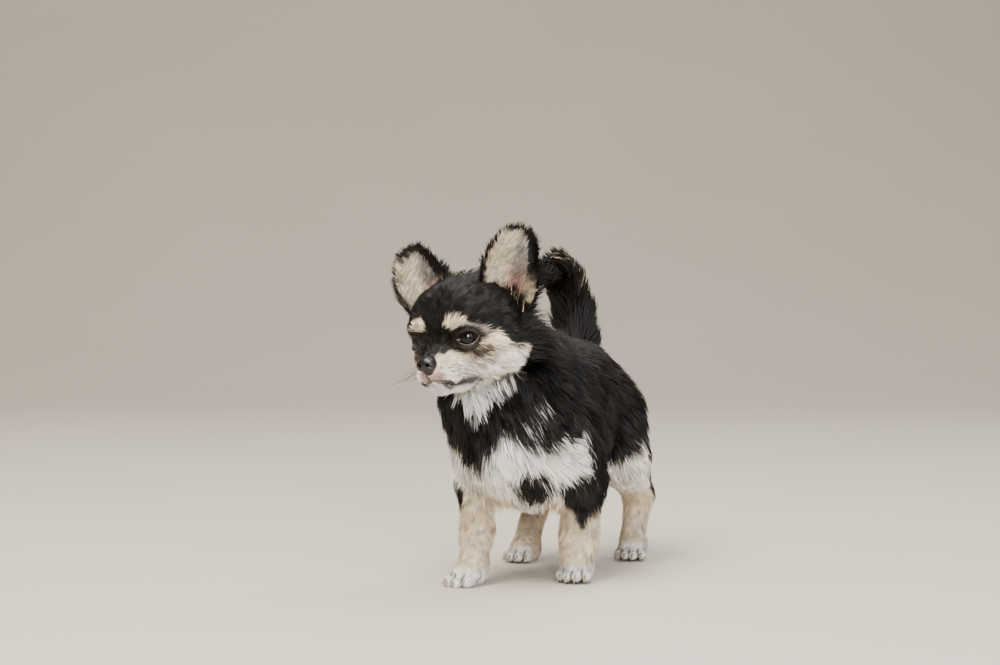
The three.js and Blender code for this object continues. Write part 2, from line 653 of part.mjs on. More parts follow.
// Tail, curled up and forward over the back, parted at a level plane
const tailForm = melt(
  8,
  ...tailPath.slice(1).map((p, i) => limb(tailPath[i], p, tailRadii[i], tailRadii[i + 1])),
);
const tailGrid = [rows(-45, 20, cell.tail), rows(40, 125, cell.tail), rows(95, 205, cell.tail)];
const tailSolid = shaped(tailForm, ...tailGrid);
const plumeShape = { length: 23, wide: 12.5, thick: 3.4, lift: 5, fall: 0 };
const plume = [];
for (let i = 0; i < 5; i++) {
  const along = 1.5 + i * 0.68;
  const k = Math.min(Math.floor(along), 4);
  const p = tailPath[k].clone().lerp(tailPath[k + 1], along - k);
  const way = tailPath[k + 1].clone().sub(tailPath[k]).normalize();
  const side = at(1, 0, 0);
  const back = way.clone().cross(side).normalize();
  for (const turn of i % 2 ? [30, 150, 270] : [90, 210, 330]) {
    const outward = side.clone().multiplyScalar(Math.cos(degrees(turn)));
    outward.addScaledVector(back, Math.sin(degrees(turn)));
    const lie = way.clone().addScaledVector(outward, 0.35);
    plume.push([p.clone().addScaledVector(outward, tailRadii[k]), lie, plumeShape]);
  }
}
const plumeCoat = coatOf(tailForm, plume);
const tailFree = tailSolid.subtract(trunkRoom);
const plumeSolid = tailSolid.add(plumeCoat.solid).trimByPlane([0, 0, 1], tailCut + gap / 2);
addNode('tail_root', tailFree.trimByPlane([0, 0, -1], -(tailCut - gap / 2)), coats.black);
addNode('tail_plume', plumeSolid.subtract(inBody(headRoom)), coats.black);

// The frame of the model: the middle of its bounding box over the floor.
const box = new THREE.Box3().setFromObject(dog, true);
const middle = box.getCenter(at(0, 0, 0));
dog.children.forEach((child) => child.position.sub(at(middle.x, middle.y, 0)));

export default dog;
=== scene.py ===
import math
import bmesh
import bpy
import numpy as np
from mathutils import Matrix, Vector
from mathutils.kdtree import KDTree


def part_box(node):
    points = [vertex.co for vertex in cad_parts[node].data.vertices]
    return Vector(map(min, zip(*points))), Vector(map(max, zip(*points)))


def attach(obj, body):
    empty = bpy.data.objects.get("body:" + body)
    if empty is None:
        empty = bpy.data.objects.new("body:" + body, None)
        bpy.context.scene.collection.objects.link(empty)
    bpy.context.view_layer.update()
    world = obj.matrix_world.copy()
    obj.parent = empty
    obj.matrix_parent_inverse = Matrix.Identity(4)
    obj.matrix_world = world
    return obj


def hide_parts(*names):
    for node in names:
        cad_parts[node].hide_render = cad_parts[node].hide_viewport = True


# A long-coated chihuahua puppy, life size, as a museum's still model. The shapes are worked out in millimetres
# in the puppy's own frame: it faces -y, its left side is +x and the floor is z = 0.
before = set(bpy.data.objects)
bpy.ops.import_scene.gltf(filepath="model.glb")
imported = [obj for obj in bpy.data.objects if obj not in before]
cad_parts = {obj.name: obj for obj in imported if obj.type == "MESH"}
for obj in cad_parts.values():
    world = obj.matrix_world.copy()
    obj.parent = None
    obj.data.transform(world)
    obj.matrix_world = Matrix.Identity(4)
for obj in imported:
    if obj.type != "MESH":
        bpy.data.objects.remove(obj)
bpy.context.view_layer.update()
chance = np.random.default_rng(7)
both = (-1, 1)

headPose = {"yaw": -10, "pitch": 8, "roll": -6.5, "place": (-21, -88, 154)}  # degrees, mm
eyeSet = {"radius": 7.4, "side": 15.3, "front": -23.8, "up": -1.4, "outward": 33, "wide": 6.2, "tall": 4.3,
          "rise": 0.08}


def turnAbout(axis, degrees):
    c, s = math.cos(math.radians(degrees)), math.sin(math.radians(degrees))
    i, j = [(1, 2), (2, 0), (0, 1)][axis]
    m = np.eye(3)
    m[i, i] = m[j, j] = c
    m[i, j], m[j, i] = -s, s
    return m


headTurn = turnAbout(2, headPose["yaw"]) @ turnAbout(0, headPose["pitch"]) @ turnAbout(1, headPose["roll"])
headPlace = np.array(headPose["place"], float)


def toHead(p):
    return (p - headPlace) @ headTurn


def fromHead(p):
    return p @ headTurn.T + headPlace


eyeMiddle = {s: np.array((s * eyeSet["side"], eyeSet["front"], eyeSet["up"])) for s in both}

# The frame's origin is under the middle of the box. It is found from where the left eyeball lies in the frame.
low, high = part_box("eye_left")
shift = np.array((low + high) / 2) * 1000 - fromHead(eyeMiddle[1])
shift[2] = 0


def toScene(p):
    return (np.asarray(p) + shift) / 1000


def unit(v):
    return v / np.maximum(np.sqrt((v * v).sum(-1, keepdims=True)), 1e-9)


def smooth(low, high, v):
    t = np.clip((v - low) / (high - low), 0, 1)
    return t * t * (3 - 2 * t)


# A form gives about how far outside the flesh a place is, and is negative inside.
def limb(a, b, ra, rb):
    a, b = np.array(a, float), np.array(b, float)
    d = b - a
    span = d @ d

    def form(p):
        q = p - a
        t = np.clip(q @ d / span, 0, 1)
        q = q - t[:, None] * d
        return np.sqrt(np.einsum("ij,ij->i", q, q)) - (ra + (rb - ra) * t)
    return form


def egg(centre, *radii):
    centre, radii = np.array(centre, float), np.array(radii, float)

    def form(p):
        q = (p - centre) / radii
        k = np.sqrt(np.einsum("ij,ij->i", q, q))
        q = q / radii
        return k * (k - 1) / (np.sqrt(np.einsum("ij,ij->i", q, q)) + 1e-9)
    return form


def meltOf(fillet, distances):
    d = distances[0]
    for e in distances[1:]:
        h = np.maximum(fillet - np.abs(d - e), 0) / fillet
        d = np.minimum(d, e) - h * h * fillet / 4
    return d


def melt(fillet, *forms):
    return lambda p: meltOf(fillet, [form(p) for form in forms])


def slopeOf(form, p, e=0.05):
    steps = np.eye(3) * e
    here = [form(p + step) - form(p - step) for step in steps]
    return np.stack(here, 1) / (2 * e)


joint = {
    "pelvis": (-3, 55, 112), "loin": (2, 22, 111), "withers": (0, -26, 112), "belly": (0, 42, 95),
    "ribs": (1, -6, 86), "brisket": (-2, -38, 85), "breast": (-8, -60, 92), "throat": (-21, -72, 112),
    "neckBase": (-6, -48, 118), "nape": (-11, -61, 139),
}
legs = {
    "foreleg_left": {
        "top": (24, -36, 92), "bend": (31, -27, 60), "wrist": (30, -31, 27), "pastern": (29, -33, 15),
        "paw": (30, -36, 0), "turn": 4, "mass": 21, "thick": (13.6, 11.8, 10.6), "toe": 4.5, "tiptoe": 0,
    },
    "foreleg_right": {
        "top": (-27, -43, 92), "bend": (-31, -45, 60), "wrist": (-26, -59, 30), "pastern": (-25, -66, 17),
        "paw": (-26, -73, 0), "turn": -26, "mass": 21, "thick": (12.6, 10.2, 9.4), "toe": 4.5, "tiptoe": 10,
    },
    "hindleg_left": {
        "top": (23, 52, 96), "bend": (33, 43, 68), "wrist": (32, 82, 41), "pastern": (30, 76, 14),
        "paw": (31.5, 69, 0), "turn": 8, "mass": 23, "thick": (17, 9.6, 8.4), "toe": 4.2, "tiptoe": 0,
    },
    "hindleg_right": {
        "top": (-27, 45, 96), "bend": (-33, 28, 68), "wrist": (-30, 62, 40), "pastern": (-31, 42, 14),
        "paw": (-31, 35, 0), "turn": -8, "mass": 23, "thick": (17, 9.6, 8.4), "toe": 4.2, "tiptoe": 0,
    },
}
tailPath = [(-8, 68, 120), (-13, 89, 140), (-19, 97, 160), (-22, 92, 180), (-23, 77, 188), (-24, 61, 184)]
tailRadii = [12, 12, 10.5, 9.2, 8.4, 6.5]

# The flesh is made of parts. Each has a form, and says how its coat is: how deep the skin lies under the outer
# line of the coat, the length of its hair, how far the tips stand off the skin, and the width of a strand.
parts = {}


def addPart(name, form, inHead=False, **coat):
    parts[name] = {"form": form, "inHead": inHead, **coat}


addPart("skull", melt(9, egg((0, 4, 3), 32, 34, 29.5), egg((0, -13, 8), 26, 19, 21)), True,
        depth=1.9, hair=8.5, lift=2.6, wide=0.4)
addPart("cheeks", melt(4, *[egg((s * 18, -3, -13), 15, 19, 14) for s in both],
                       *[egg((s * 24, 8, -13), 11, 14, 13) for s in both]), True,
        depth=2.0, hair=9.5, lift=3.2, wide=0.4)
addPart("muzzle", melt(5, limb((0, -20, -13), (0, -38, -16), 14, 9), limb((0, -24, -5), (0, -40, -10), 7, 5),
                       *[egg((s * 6.4, -36, -19.4), 8, 8.6, 7) for s in both]), True,
        depth=0.8, hair=3.4, lift=1.0, wide=0.32)
addPart("jaw", limb((0, -10, -21), (0, -36.5, -25.4), 13, 6.2), True, depth=1.1, hair=5.5, lift=2, wide=0.28)
addPart("brow", melt(4, *[egg((s * 13.5, -25, 6.5), 9, 6, 5) for s in both]), True,
        depth=1.1, hair=4.4, lift=1.5, wide=0.34)
addPart("lids", melt(1, *[egg(eyeMiddle[s], 8.9, 8.9, 8.9) for s in both]), True,
        depth=0.7, hair=2.4, lift=0.8, wide=0.22)
for name, start, end, radii, depth, hair, lift, wide in (
    ("rump", "pelvis", "loin", (31, 30), 4.6, 17, 5.6, 0.7),
    ("saddle", "loin", "withers", (30, 31), 4.6, 18, 5.6, 0.7),
    ("belly", "belly", "ribs", (29, 34), 4.6, 18, 5.8, 0.7),
    ("ribs", "ribs", "brisket", (34, 35), 5, 20, 8, 0.7),
    ("breast", "brisket", "breast", (35, 28), 5.5, 22, 10, 0.62),
    ("neck", "neckBase", "nape", (33, 29), 5.5, 20, 8.5, 0.62),
    ("throat", "breast", "throat", (27, 23), 5, 18, 7, 0.6),
):
    addPart(name, limb(joint[start], joint[end], *radii), depth=depth, hair=hair, lift=lift, wide=wide)


def pawForm(leg):
    turn = turnAbout(2, leg["turn"]) @ turnAbout(0, leg["tiptoe"])
    t = leg["toe"]

    def inPaw(*p):
        return np.array(p, float) @ turn.T + leg["paw"]
    toes = [(k * t, -10.5 if abs(k) < 1 else -6.8) for k in (-1.78, -0.62, 0.62, 1.78)]
    slim = t * 0.84
    leg["toeForms"] = [limb(inPaw(side * 0.8, front + 8, t + 1.6), inPaw(side, front - t + slim, t - 0.3), slim, slim)
                       for side, front in toes]
    form = melt(0.9, *leg["toeForms"], limb(inPaw(0, 6, 6.5), inPaw(0, -1, 6.5), 9, 9))
    return form, toes, inPaw


for name, leg in legs.items():
    kind, side = name.split("leg_")
    leg["upper"] = limb(leg["top"], leg["bend"], leg["mass"] - 3, leg["thick"][0])
    addPart(kind + "thigh_" + side, limb(leg["top"], leg["bend"], leg["mass"], leg["thick"][0]),
            depth=4.2, hair=15, lift=5, wide=0.62)
    addPart(kind + "shank_" + side, limb(leg["bend"], leg["wrist"], *leg["thick"][:2]),
            depth=2.2, hair=6.5, lift=2.5, wide=0.46)
    addPart(kind + "cannon_" + side, limb(leg["wrist"], leg["pastern"], *leg["thick"][1:]),
            depth=1.5, hair=4.6, lift=1.8, wide=0.42)
    leg["form"], leg["toes"], leg["inPaw"] = pawForm(leg)
    addPart(kind + "paw_" + side, leg["form"], depth=0.8, hair=2.8, lift=0.9, wide=0.32)
tailLimbs = [limb(a, b, ra, rb) for a, b, ra, rb in zip(tailPath, tailPath[1:], tailRadii, tailRadii[1:])]
addPart("tail", melt(8, *tailLimbs), depth=5.0, hair=24, lift=9.5, wide=0.62)
partNames = list(parts)
coatTable = {key: np.array([part[key] for part in parts.values()]) for key in ("depth", "hair", "lift", "wide")}


def fleshAt(p):
    q = toHead(p)
    d = {name: part["form"](q if part["inHead"] else p) for name, part in parts.items()}
    upper = [leg["upper"](p) for leg in legs.values()]
    skull = meltOf(9, [d["skull"], d["cheeks"]])
    muzzle = meltOf(5, [d["muzzle"], d["jaw"]])
    head = meltOf(2.5, [meltOf(8, [skull, muzzle, d["brow"]]), d["lids"]])
    torso = meltOf(16, [d[n] for n in ("rump", "saddle", "belly", "ribs", "breast")]
                   + [d[n] for n in partNames if "thigh" in n])
    trunk = meltOf(14, [torso, meltOf(10, [d["neck"], d["throat"]])])
    whole = meltOf(3, [meltOf(4, [trunk, head]), d["tail"]])
    for name, thigh in zip(legs, upper):
        kind, side = name.split("leg_")
        leg = meltOf(7, [thigh, *[d[kind + n + "_" + side] for n in ("shank", "cannon", "paw")]])
        whole = meltOf(5, [whole, leg])
    return whole, np.stack([d[n] for n in partNames], 1)


# How much each part of the flesh counts at a place, from how near it is.
def sharesOf(distances, sharp=2.2):
    near = np.exp(-(distances - distances.min(1, keepdims=True)) / sharp)
    return near / near.sum(1, keepdims=True)


def outerForm(p):
    return fleshAt(p)[0]


# Axes across, up and out of something on the head that faces outward by some degrees and rises a little.
def outwardAxes(s, degrees, rise):
    out = unit(np.array((s * math.sin(math.radians(degrees)), -math.cos(math.radians(degrees)), rise)))
    across = unit(np.cross((0, 0, 1), out))
    return across, np.cross(out, across), out


# Each eye's opening is an almond on the lids, seen along these axes.
eyeAxes = {s: outwardAxes(s, eyeSet["outward"], eyeSet["rise"]) for s in both}


# Places on the head as seen from an eye: across, up, out, and how far from its middle.
def fromEye(q, s):
    r = q - eyeMiddle[s]
    return [r @ axis for axis in eyeAxes[s]] + [np.sqrt((r * r).sum(1))]


def eyeRing(x, y, margin):
    return np.hypot(x / (eyeSet["wide"] + margin), y / (eyeSet["tall"] + margin))

mouthLine = [(-45.5, -20.4), (-42, -23), (-38, -25.6), (-32, -27), (-26, -27), (-20, -26.2), (-15, -25.6)]


# Distance from the cut between the lips, which runs across the whole muzzle.
def mouthGap(q):
    d = np.full(len(q), 99.0)
    flat = q * (0, 1, 1)
    for a, b in zip(mouthLine, mouthLine[1:]):
        d = np.minimum(d, limb((0, *a), (0, *b), 0.55, 0.55)(flat))
    return d


# The skin lies under the flesh's outer line by the coat's depth, with the eyes' openings and the mouth cut in.
def skinForm(p):
    whole, distances = fleshAt(p)
    skin = whole + sharesOf(distances) @ coatTable["depth"]
    q = toHead(p)
    face = (np.abs(q[:, 0]) < 30) & (q[:, 1] < -8) & (q[:, 1] > -60) & (np.abs(q[:, 2] + 10) < 30)
    f = q[face]
    d = skin[face]
    for s in both:
        x, y, z, far = fromEye(f, s)
        d = np.maximum(d, np.where(z > 0, -(eyeRing(x, y, 0.5) - 1) * 4.5, -9))
        d = np.maximum(d, -(far - eyeSet["radius"] - 0.05))
    d = np.maximum(d, -mouthGap(f) * (f[:, 1] < -12))
    skin[face] = d
    return skin


# Turns a form into a net of quads on a grid, one point to a cell, which is then settled on the form.
def gridRow(start, *pairs):
    row = [start]
    for end, size in zip(pairs[::2], pairs[1::2]):
        count = max(1, round((end - row[-1]) / size))
        row += list(np.linspace(row[-1], end, count + 1)[1:])
    return np.array(row)


def gridValues(form, rows, near, skip=4):
    coarse = [np.append(row[:-1:skip], row[-1]) for row in rows]
    places = np.stack(np.meshgrid(*coarse, indexing="ij"), -1).reshape(-1, 3)
    values = form(places).reshape([len(row) for row in coarse])
    for axis, (few, many) in enumerate(zip(coarse, rows)):
        k = np.clip(np.searchsorted(few, many, "right") - 1, 0, len(few) - 2)
        t = (many - few[k]) / (few[k + 1] - few[k])
        t = t.reshape([-1 if i == axis else 1 for i in range(3)])
        values = np.take(values, k, axis) * (1 - t) + np.take(values, k + 1, axis) * t
    close = np.argwhere(np.abs(values) < near)
    exact = np.concatenate([form(np.stack([rows[i][part[:, i]] for i in range(3)], 1))
                            for part in np.array_split(close, 8)])
    values[tuple(close.T)] = exact
    return values


def netOf(form, rows, near=7, settle=2):
    values = gridValues(form, rows, near)
    inside = values < 0
    n = np.array(values.shape) - 1
    corners = [(c & 1, (c >> 1) & 1, c >> 2) for c in range(8)]
    count = sum(inside[a:n[0] + a, b:n[1] + b, c:n[2] + c].astype(np.int8) for a, b, c in corners)
    cells = np.argwhere((count > 0) & (count < 8))
    number = np.full(n, -1, np.int64)
    number[tuple(cells.T)] = np.arange(len(cells))
    v = [values[tuple((cells + c).T)] for c in corners]
    place, hits = np.zeros((len(cells), 3)), np.zeros(len(cells))
    for step in (1, 2, 4):
        for a in range(8):
            if a & step:
                continue
            va, vb = v[a], v[a | step]
            cross = (va < 0) != (vb < 0)
            t = np.where(cross, va / np.where(cross, va - vb, 1), 0)
            spot = np.array(corners[a]) + t[:, None] * (np.array(corners[a | step]) - corners[a])
            place += spot * cross[:, None]
            hits += cross
    place /= hits[:, None]
    points = np.stack([rows[i][cells[:, i]] + place[:, i] * np.diff(rows[i])[cells[:, i]] for i in range(3)], 1)
    reach = np.stack([np.diff(rows[i])[cells[:, i]] for i in range(3)], 1).min(1)
    for _ in range(settle):
        slope = slopeOf(form, points)
        move = -slope * (form(points) / np.maximum((slope * slope).sum(1), 0.3))[:, None]
        size = np.sqrt((move * move).sum(1))
        points += move * (np.minimum(size, reach * 0.4) / np.maximum(size, 1e-9))[:, None]
    quads = []
    for axis in range(3):
        u, w = (axis + 1) % 3, (axis + 2) % 3
        here = inside.take(range(n[axis]), axis)
        there = inside.take(range(1, n[axis] + 1), axis)
        edge = np.argwhere(here != there)
        edge = edge[(edge[:, u] > 0) & (edge[:, w] > 0) & (edge[:, u] < n[u]) & (edge[:, w] < n[w])]
        back = np.eye(3, dtype=int)
        ring = [number[tuple((edge - d).T)] for d in (back[u] * 0, back[u], back[u] + back[w], back[w])]
        ring = np.stack(ring, 1)
        flip = ~here[tuple(edge.T)]
        ring[flip] = ring[flip][:, ::-1]
        quads.append(ring)
    return points, np.concatenate(quads)


def addObject(name, data):
    thing = bpy.data.objects.new(name, data)
    bpy.context.scene.collection.objects.link(thing)
    return thing


def showMesh(mesh, material):
    mesh.shade_smooth()
    mesh.materials.append(material)
    return addObject(mesh.name, mesh)


def meshPiece(name, points, faces, material):
    mesh = bpy.data.meshes.new(name)
    mesh.vertices.add(len(points))
    mesh.vertices.foreach_set("co", toScene(points).astype(np.float32).ravel())
    mesh.loops.add(faces.size)
    mesh.loops.foreach_set("vertex_index", faces.ravel().astype(np.int32))
    mesh.polygons.add(len(faces))
    mesh.polygons.foreach_set("loop_start", np.arange(0, faces.size, faces.shape[1], dtype=np.int32))
    mesh.update(calc_edges=True)
    mesh.validate()
    return showMesh(mesh, material)


def paintPiece(piece, colours):
    layer = piece.data.color_attributes.new("coatColour", "FLOAT_COLOR", "POINT")
    values = np.ones((len(colours), 4), np.float32)
    values[:, :3] = colours
    layer.data.foreach_set("color", values.ravel())


def writeMap(piece, values):
    layer = piece.data.uv_layers.new(name="OFBake")
    index = np.zeros(len(piece.data.loops), np.int32)
    piece.data.loops.foreach_get("vertex_index", index)
    layer.data.foreach_set("uv", values[index].astype(np.float32).ravel())


def linear(hexText):
    v = np.array([int(hexText[i:i + 2], 16) / 255 for i in (1, 3, 5)])
    return np.where(v <= 0.04045, v / 12.92, ((v + 0.055) / 1.055) ** 2.4)


# Slow noise from five crossing waves, for the markings' edges and for the way that hair strays.
def waver(p, size, seed=0):
    ways = np.array([[1.0, 0.36, 0.71], [-0.53, 1.13, 0.29], [0.41, -0.77, 0.93], [0.87, 0.59, -0.67],
                     [-0.9, 0.33, 1.2]])
    phase = np.array([0.3, 1.7, 2.9, 4.1, 5.3]) * (1 + seed)
    return np.sin(p @ ways.T * (2 * math.pi / size) + phase).sum(1) / 5 * 1.6


# Colours of the coat and of the bare skin that shows in it. "shade" is a dark brown for markings, and is also the
# painted shade between the toes.
coatColours = {name: linear(tone) for name, tone in {
    "black": "#0f0c0a", "cream": "#f2dfc0", "white": "#fbf7f0", "tan": "#d8b384", "grey": "#8f8880", "lid": "#51423c",
    "pink": "#c98f84", "dark": "#14100e", "pale": "#bdb0a4", "shade": "#5a4a3e",
}.items()}
whiskerSpots = [(-41.5, -15.5), (-39, -14.5), (-36, -14.5), (-41, -18), (-38, -17.6), (-35, -17.4), (-40.5, -20.6),
                (-37.4, -20.6), (-34, -20.4)]


# Where the markings lie: on the head in its own frame with both sides alike, and on the body.
markForms = {
    "cheekStreak": egg((22.5, -21.5, -11.5), 8, 7, 4.2), "browSpot": egg((12.8, -31.5, 9.0), 7.0, 6.5, 3.9),
    "browBand": limb((19.5, -31, 5.2), (27, -18.5, 0.8), 2.9, 2.2),
    "tearLine": limb((10.5, -33, -2.6), (4.2, -38.5, -7.4), 2.8, 1.6),
    "underEye": limb((12.5, -35, -9.6), (20, -30.5, -9.2), 1.6, 1.3),
    "pinkSnout": egg((4.6, -46.2, -19.4), 4.8, 3.4, 3.0),
    "lipFront": limb((0, -45.5, -21.6), (8, -40, -25.4), 0.7, 2.0),
    "lipSide": limb((7.5, -37, -26.6), (11.5, -17, -27.2), 2.4, 3.2),
    "chestPatch": egg((10.5, -64, 59.5), 11, 18, 13), "shoulderWisp": egg((-42, -68, 84), 13, 14, 9),
    "collarWisp": limb((20, -68, 112), (13, -80, 93), 2.4, 3.8),
    "tailRim": limb((-15, 66, 200), (-6, 90, 196), 7, 8), "tailEnd": limb((-6, 90, 196), (-2, 104, 168), 8, 6),
}
# The edges of the light areas, each as places along one axis and the edge's place along another.
markEdges = {
    "cheekTop": ([-50, -42, -36, -31, -27, -23, -18, -12.6, -8, -4.2, 3, 10, 12],
                 [-5, -6.5, -5, -9, -10.5, -7, -1.6, -0.4, -6.2, -12.4, -13.4, -14.5, -30]),
    "cheekBack": ([12, 14.5, 19, 26, 33, 40], [11, 10, 5.5, 5.5, 7, 5]),
    "chestTop": ([-48, -38, -33, -27, -22, -16, -9, -3, 5, 14, 22, 32, 42],
                 [97, 93, 85, 77, 72, 69, 77, 86, 90, 85, 83, 88, 90]),
    "chestFoot": ([-44, -34, -30, 20, 24, 40], [66, 60, 30, 30, 62, 70]),
    "chestRear": ([50, 60, 75, 90], [-36, -42, -47, -52]),
}


def markings(p, stray=0.0):
    q = toHead(p)
    sx = np.abs(q[:, 0])
    m = np.stack([sx, q[:, 1], q[:, 2]], 1)
    edge = waver(p, 9) * 0.8 + stray
    x, y, z = p.T
    colour = np.tile(coatColours["black"], (len(p), 1))

    def lay(name, amount):
        nonlocal colour
        amount = np.clip(amount, 0, 1)[:, None]
        colour = colour * (1 - amount) + coatColours[name] * amount

    onHead = smooth(4, 0, fleshHead(p))
    # the light side of the muzzle and cheek, under a line that rises behind the eye
    top = np.interp(m[:, 1], *markEdges["cheekTop"])
    back = np.interp(-m[:, 2], *markEdges["cheekBack"])
    light = smooth(1.1, -1.1, np.maximum(m[:, 2] - top, m[:, 1] - back) + edge)
    light = light * smooth(3.4, 4.8, sx + edge * 0.4 + smooth(-12, -16, m[:, 2]) * 9)
    lay("cream", light * onHead)
    lay("white", light * onHead * smooth(-10, -21, m[:, 2] + edge) * 0.85)
    streak = markForms["cheekStreak"](m) + waver(q * (0.4, 0.35, 1.6), 3.4, 2) * 1.6 + stray * 1.6
    lay("shade", smooth(0.8, -1.2, streak) * onHead * 0.9)
    lay("dark", smooth(-0.6, -2.4, streak) * onHead * 0.6)
    # the spots over the eyes and the grey band behind them
    spot = markForms["browSpot"](m) + 0.9 * (q[:, 0] < 0)
    lay("cream", smooth(0.9, -0.9, spot + edge * 0.7) * onHead)
    lay("pale", smooth(1.0, -0.8, markForms["browBand"](m) + edge * 0.8) * onHead * 0.9)
    # dark round the eyes, and from their inner corners down beside the bridge
    ex, ey, ez, _ = fromEye(m, 1)
    k = eyeRing(ex, ey + 0.5, 1.2)
    nearEye = onHead * (ez > 0)
    lay("dark", smooth(1.5, 1.28, k + edge * 0.05) * nearEye)
    lay("dark", smooth(0.8, -0.6, markForms["tearLine"](m) + edge * 0.3) * onHead)
    leftOnly = np.where(q[:, 0] > 0, 1.0, 0.25)
    lay("lid", smooth(1.26, 1.12, k + edge * 0.04) * smooth(1.6, -0.6, ey) * nearEye * 0.95 * leftOnly)
    lay("lid", smooth(1.12, 1.04, k) * smooth(1.0, 3.0, ey) * nearEye * 0.6 * leftOnly)
    lay("pale", smooth(0.8, -0.6, markForms["underEye"](m) + edge * 0.3) * onHead * 0.6)
    lay("pink", smooth(1.4, -1.6, markForms["pinkSnout"](m)) * 0.75 * onHead)
    lip = np.minimum(markForms["lipFront"](m), markForms["lipSide"](m))
    for spotY, spotZ in whiskerSpots:
        spot = np.hypot(m[:, 1] - spotY, m[:, 2] - spotZ)
        lay("shade", smooth(0.75, 0.35, spot) * (sx > 4) * onHead * 0.8)
    lay("dark", smooth(1.0, -0.7, lip + edge * 0.6) * onHead * 0.92)
    # the bib under the jaw
    offHead = 1 - onHead
    bib = np.maximum(102 + np.where(x > -14, 1.2 * (x + 14), -1.1 * (x + 14)) - z, z - 134)
    bib = np.maximum(bib, x - 8)
    front = smooth(-66, -74, y)
    lay("white", smooth(1.8, -1.8, bib + edge) * front * offHead)
    # the white of the chest, with its dark patch and the points that reach back over the shoulders
    top, foot = np.interp(x, *markEdges["chestTop"]), np.interp(x, *markEdges["chestFoot"])
    chest = np.maximum(np.maximum(z - top, foot - z), y - np.interp(z, *markEdges["chestRear"]))
    lay("white", smooth(2.4, -2.4, chest + edge * 2.2) * offHead)
    lay("cream", smooth(2, -4, chest) * smooth(0.1, 0.7, waver(p, 17, 3)) * 0.4 * offHead)
    lay("black", smooth(2.2, -2.2, markForms["chestPatch"](p) + edge * 2.2) * offHead)
    wisp = smooth(2, -2, markForms["shoulderWisp"](p) + edge * 2) * smooth(-0.1, 0.4, waver(p, 5, 4))
    lay("grey", wisp * 0.85 * offHead)
    wisp = smooth(1, -1.5, markForms["collarWisp"](p) + edge) * smooth(0.1, 0.5, waver(p, 4, 5))
    lay("white", wisp * offHead * 0.6)
    # the legs
    for name, leg in legs.items():
        kind, side = name.split("leg_")
        s = 1 if side == "left" else -1
        axis = np.array([leg[n] for n in ("pastern", "wrist", "bend", "top")], float).T
        axisX, axisY = np.interp(z, axis[2, :3], axis[0, :3]), np.interp(z, axis[2], axis[1])
        reach = 27 if kind == "fore" else 33
        near = smooth(reach, reach - 5, np.hypot(x - axisX, y - axisY)) * smooth(-2, 2, x * s)
        if kind == "fore":
            outer = (x - axisX) * s
            limit = 32 + np.abs(outer - 5) * 1.5 if side == "left" else 44 + np.maximum(0, 6 - outer) * 5
            tan = smooth(2, -2, z - limit + edge * 1.6) * smooth(62, 57, z + edge * 3)
        else:
            line = 68 + (y - 29) * 0.6
            tan = smooth(2.5, -2.5, z - np.minimum(line, 75) + edge * 2)
            rearEdge = smooth(-2.4, 0.6, (y - axisY) + edge) * smooth(36, 42, z)
            tan = tan * (1 - rearEdge)
        lay("cream", tan * near)
        lay("tan", tan * near * smooth(24, 34, z) * smooth(50, 40, z) * 0.22)
        if kind == "hind":
            lay("white", tan * near * smooth(44, 52, z + edge) * 0.8)
        lay("white", near * smooth(12.5, 8, z + edge))
    # light hair under the belly, and along the outer side of the tail's curl
    under = smooth(60, 52, z + edge) * smooth(-20, 10, y) * smooth(27, 20, np.abs(x))
    lay("tan", under * 0.8)
    rim = np.minimum(markForms["tailRim"](p), markForms["tailEnd"](p))
    lay("cream", smooth(1.5, -2.5, rim + edge * 1.5) * 0.8)
    # painted shade in the grooves between the toes
    for leg in legs.values():
        near = np.hypot(p[:, 0] - leg["paw"][0], p[:, 1] - leg["paw"][1]) < 22
        near &= z < 10
        if near.any():
            split = np.sort([toe(p[near]) for toe in leg["toeForms"]], 0)
            toeGapShade = smooth(1.5, 0.4, split[1] - split[0]) * smooth(10, 7, z[near]) * smooth(2.4, 1.2, split[0])
            colour[near] = colour[near] * (1 - 0.85 * toeGapShade[:, None]) + coatColours["shade"] * 0.85 * toeGapShade[:, None]
    return colour


# Below nought where a place belongs to the head and not to the neck.
def fleshHead(p):
    q = toHead(p)
    head = np.min([part["form"](q) for part in parts.values() if part["inHead"]], 0)
    trunk = np.min([parts[n]["form"](p) for n in ("neck", "throat", "breast")], 0)
    return head - np.minimum(trunk, 3) * 0.5


# The lie of the hair: back over the head and body, down the legs, out along the tail, and a fan on the chest.
collar = unit(np.array(joint["nape"], float) - joint["neckBase"])


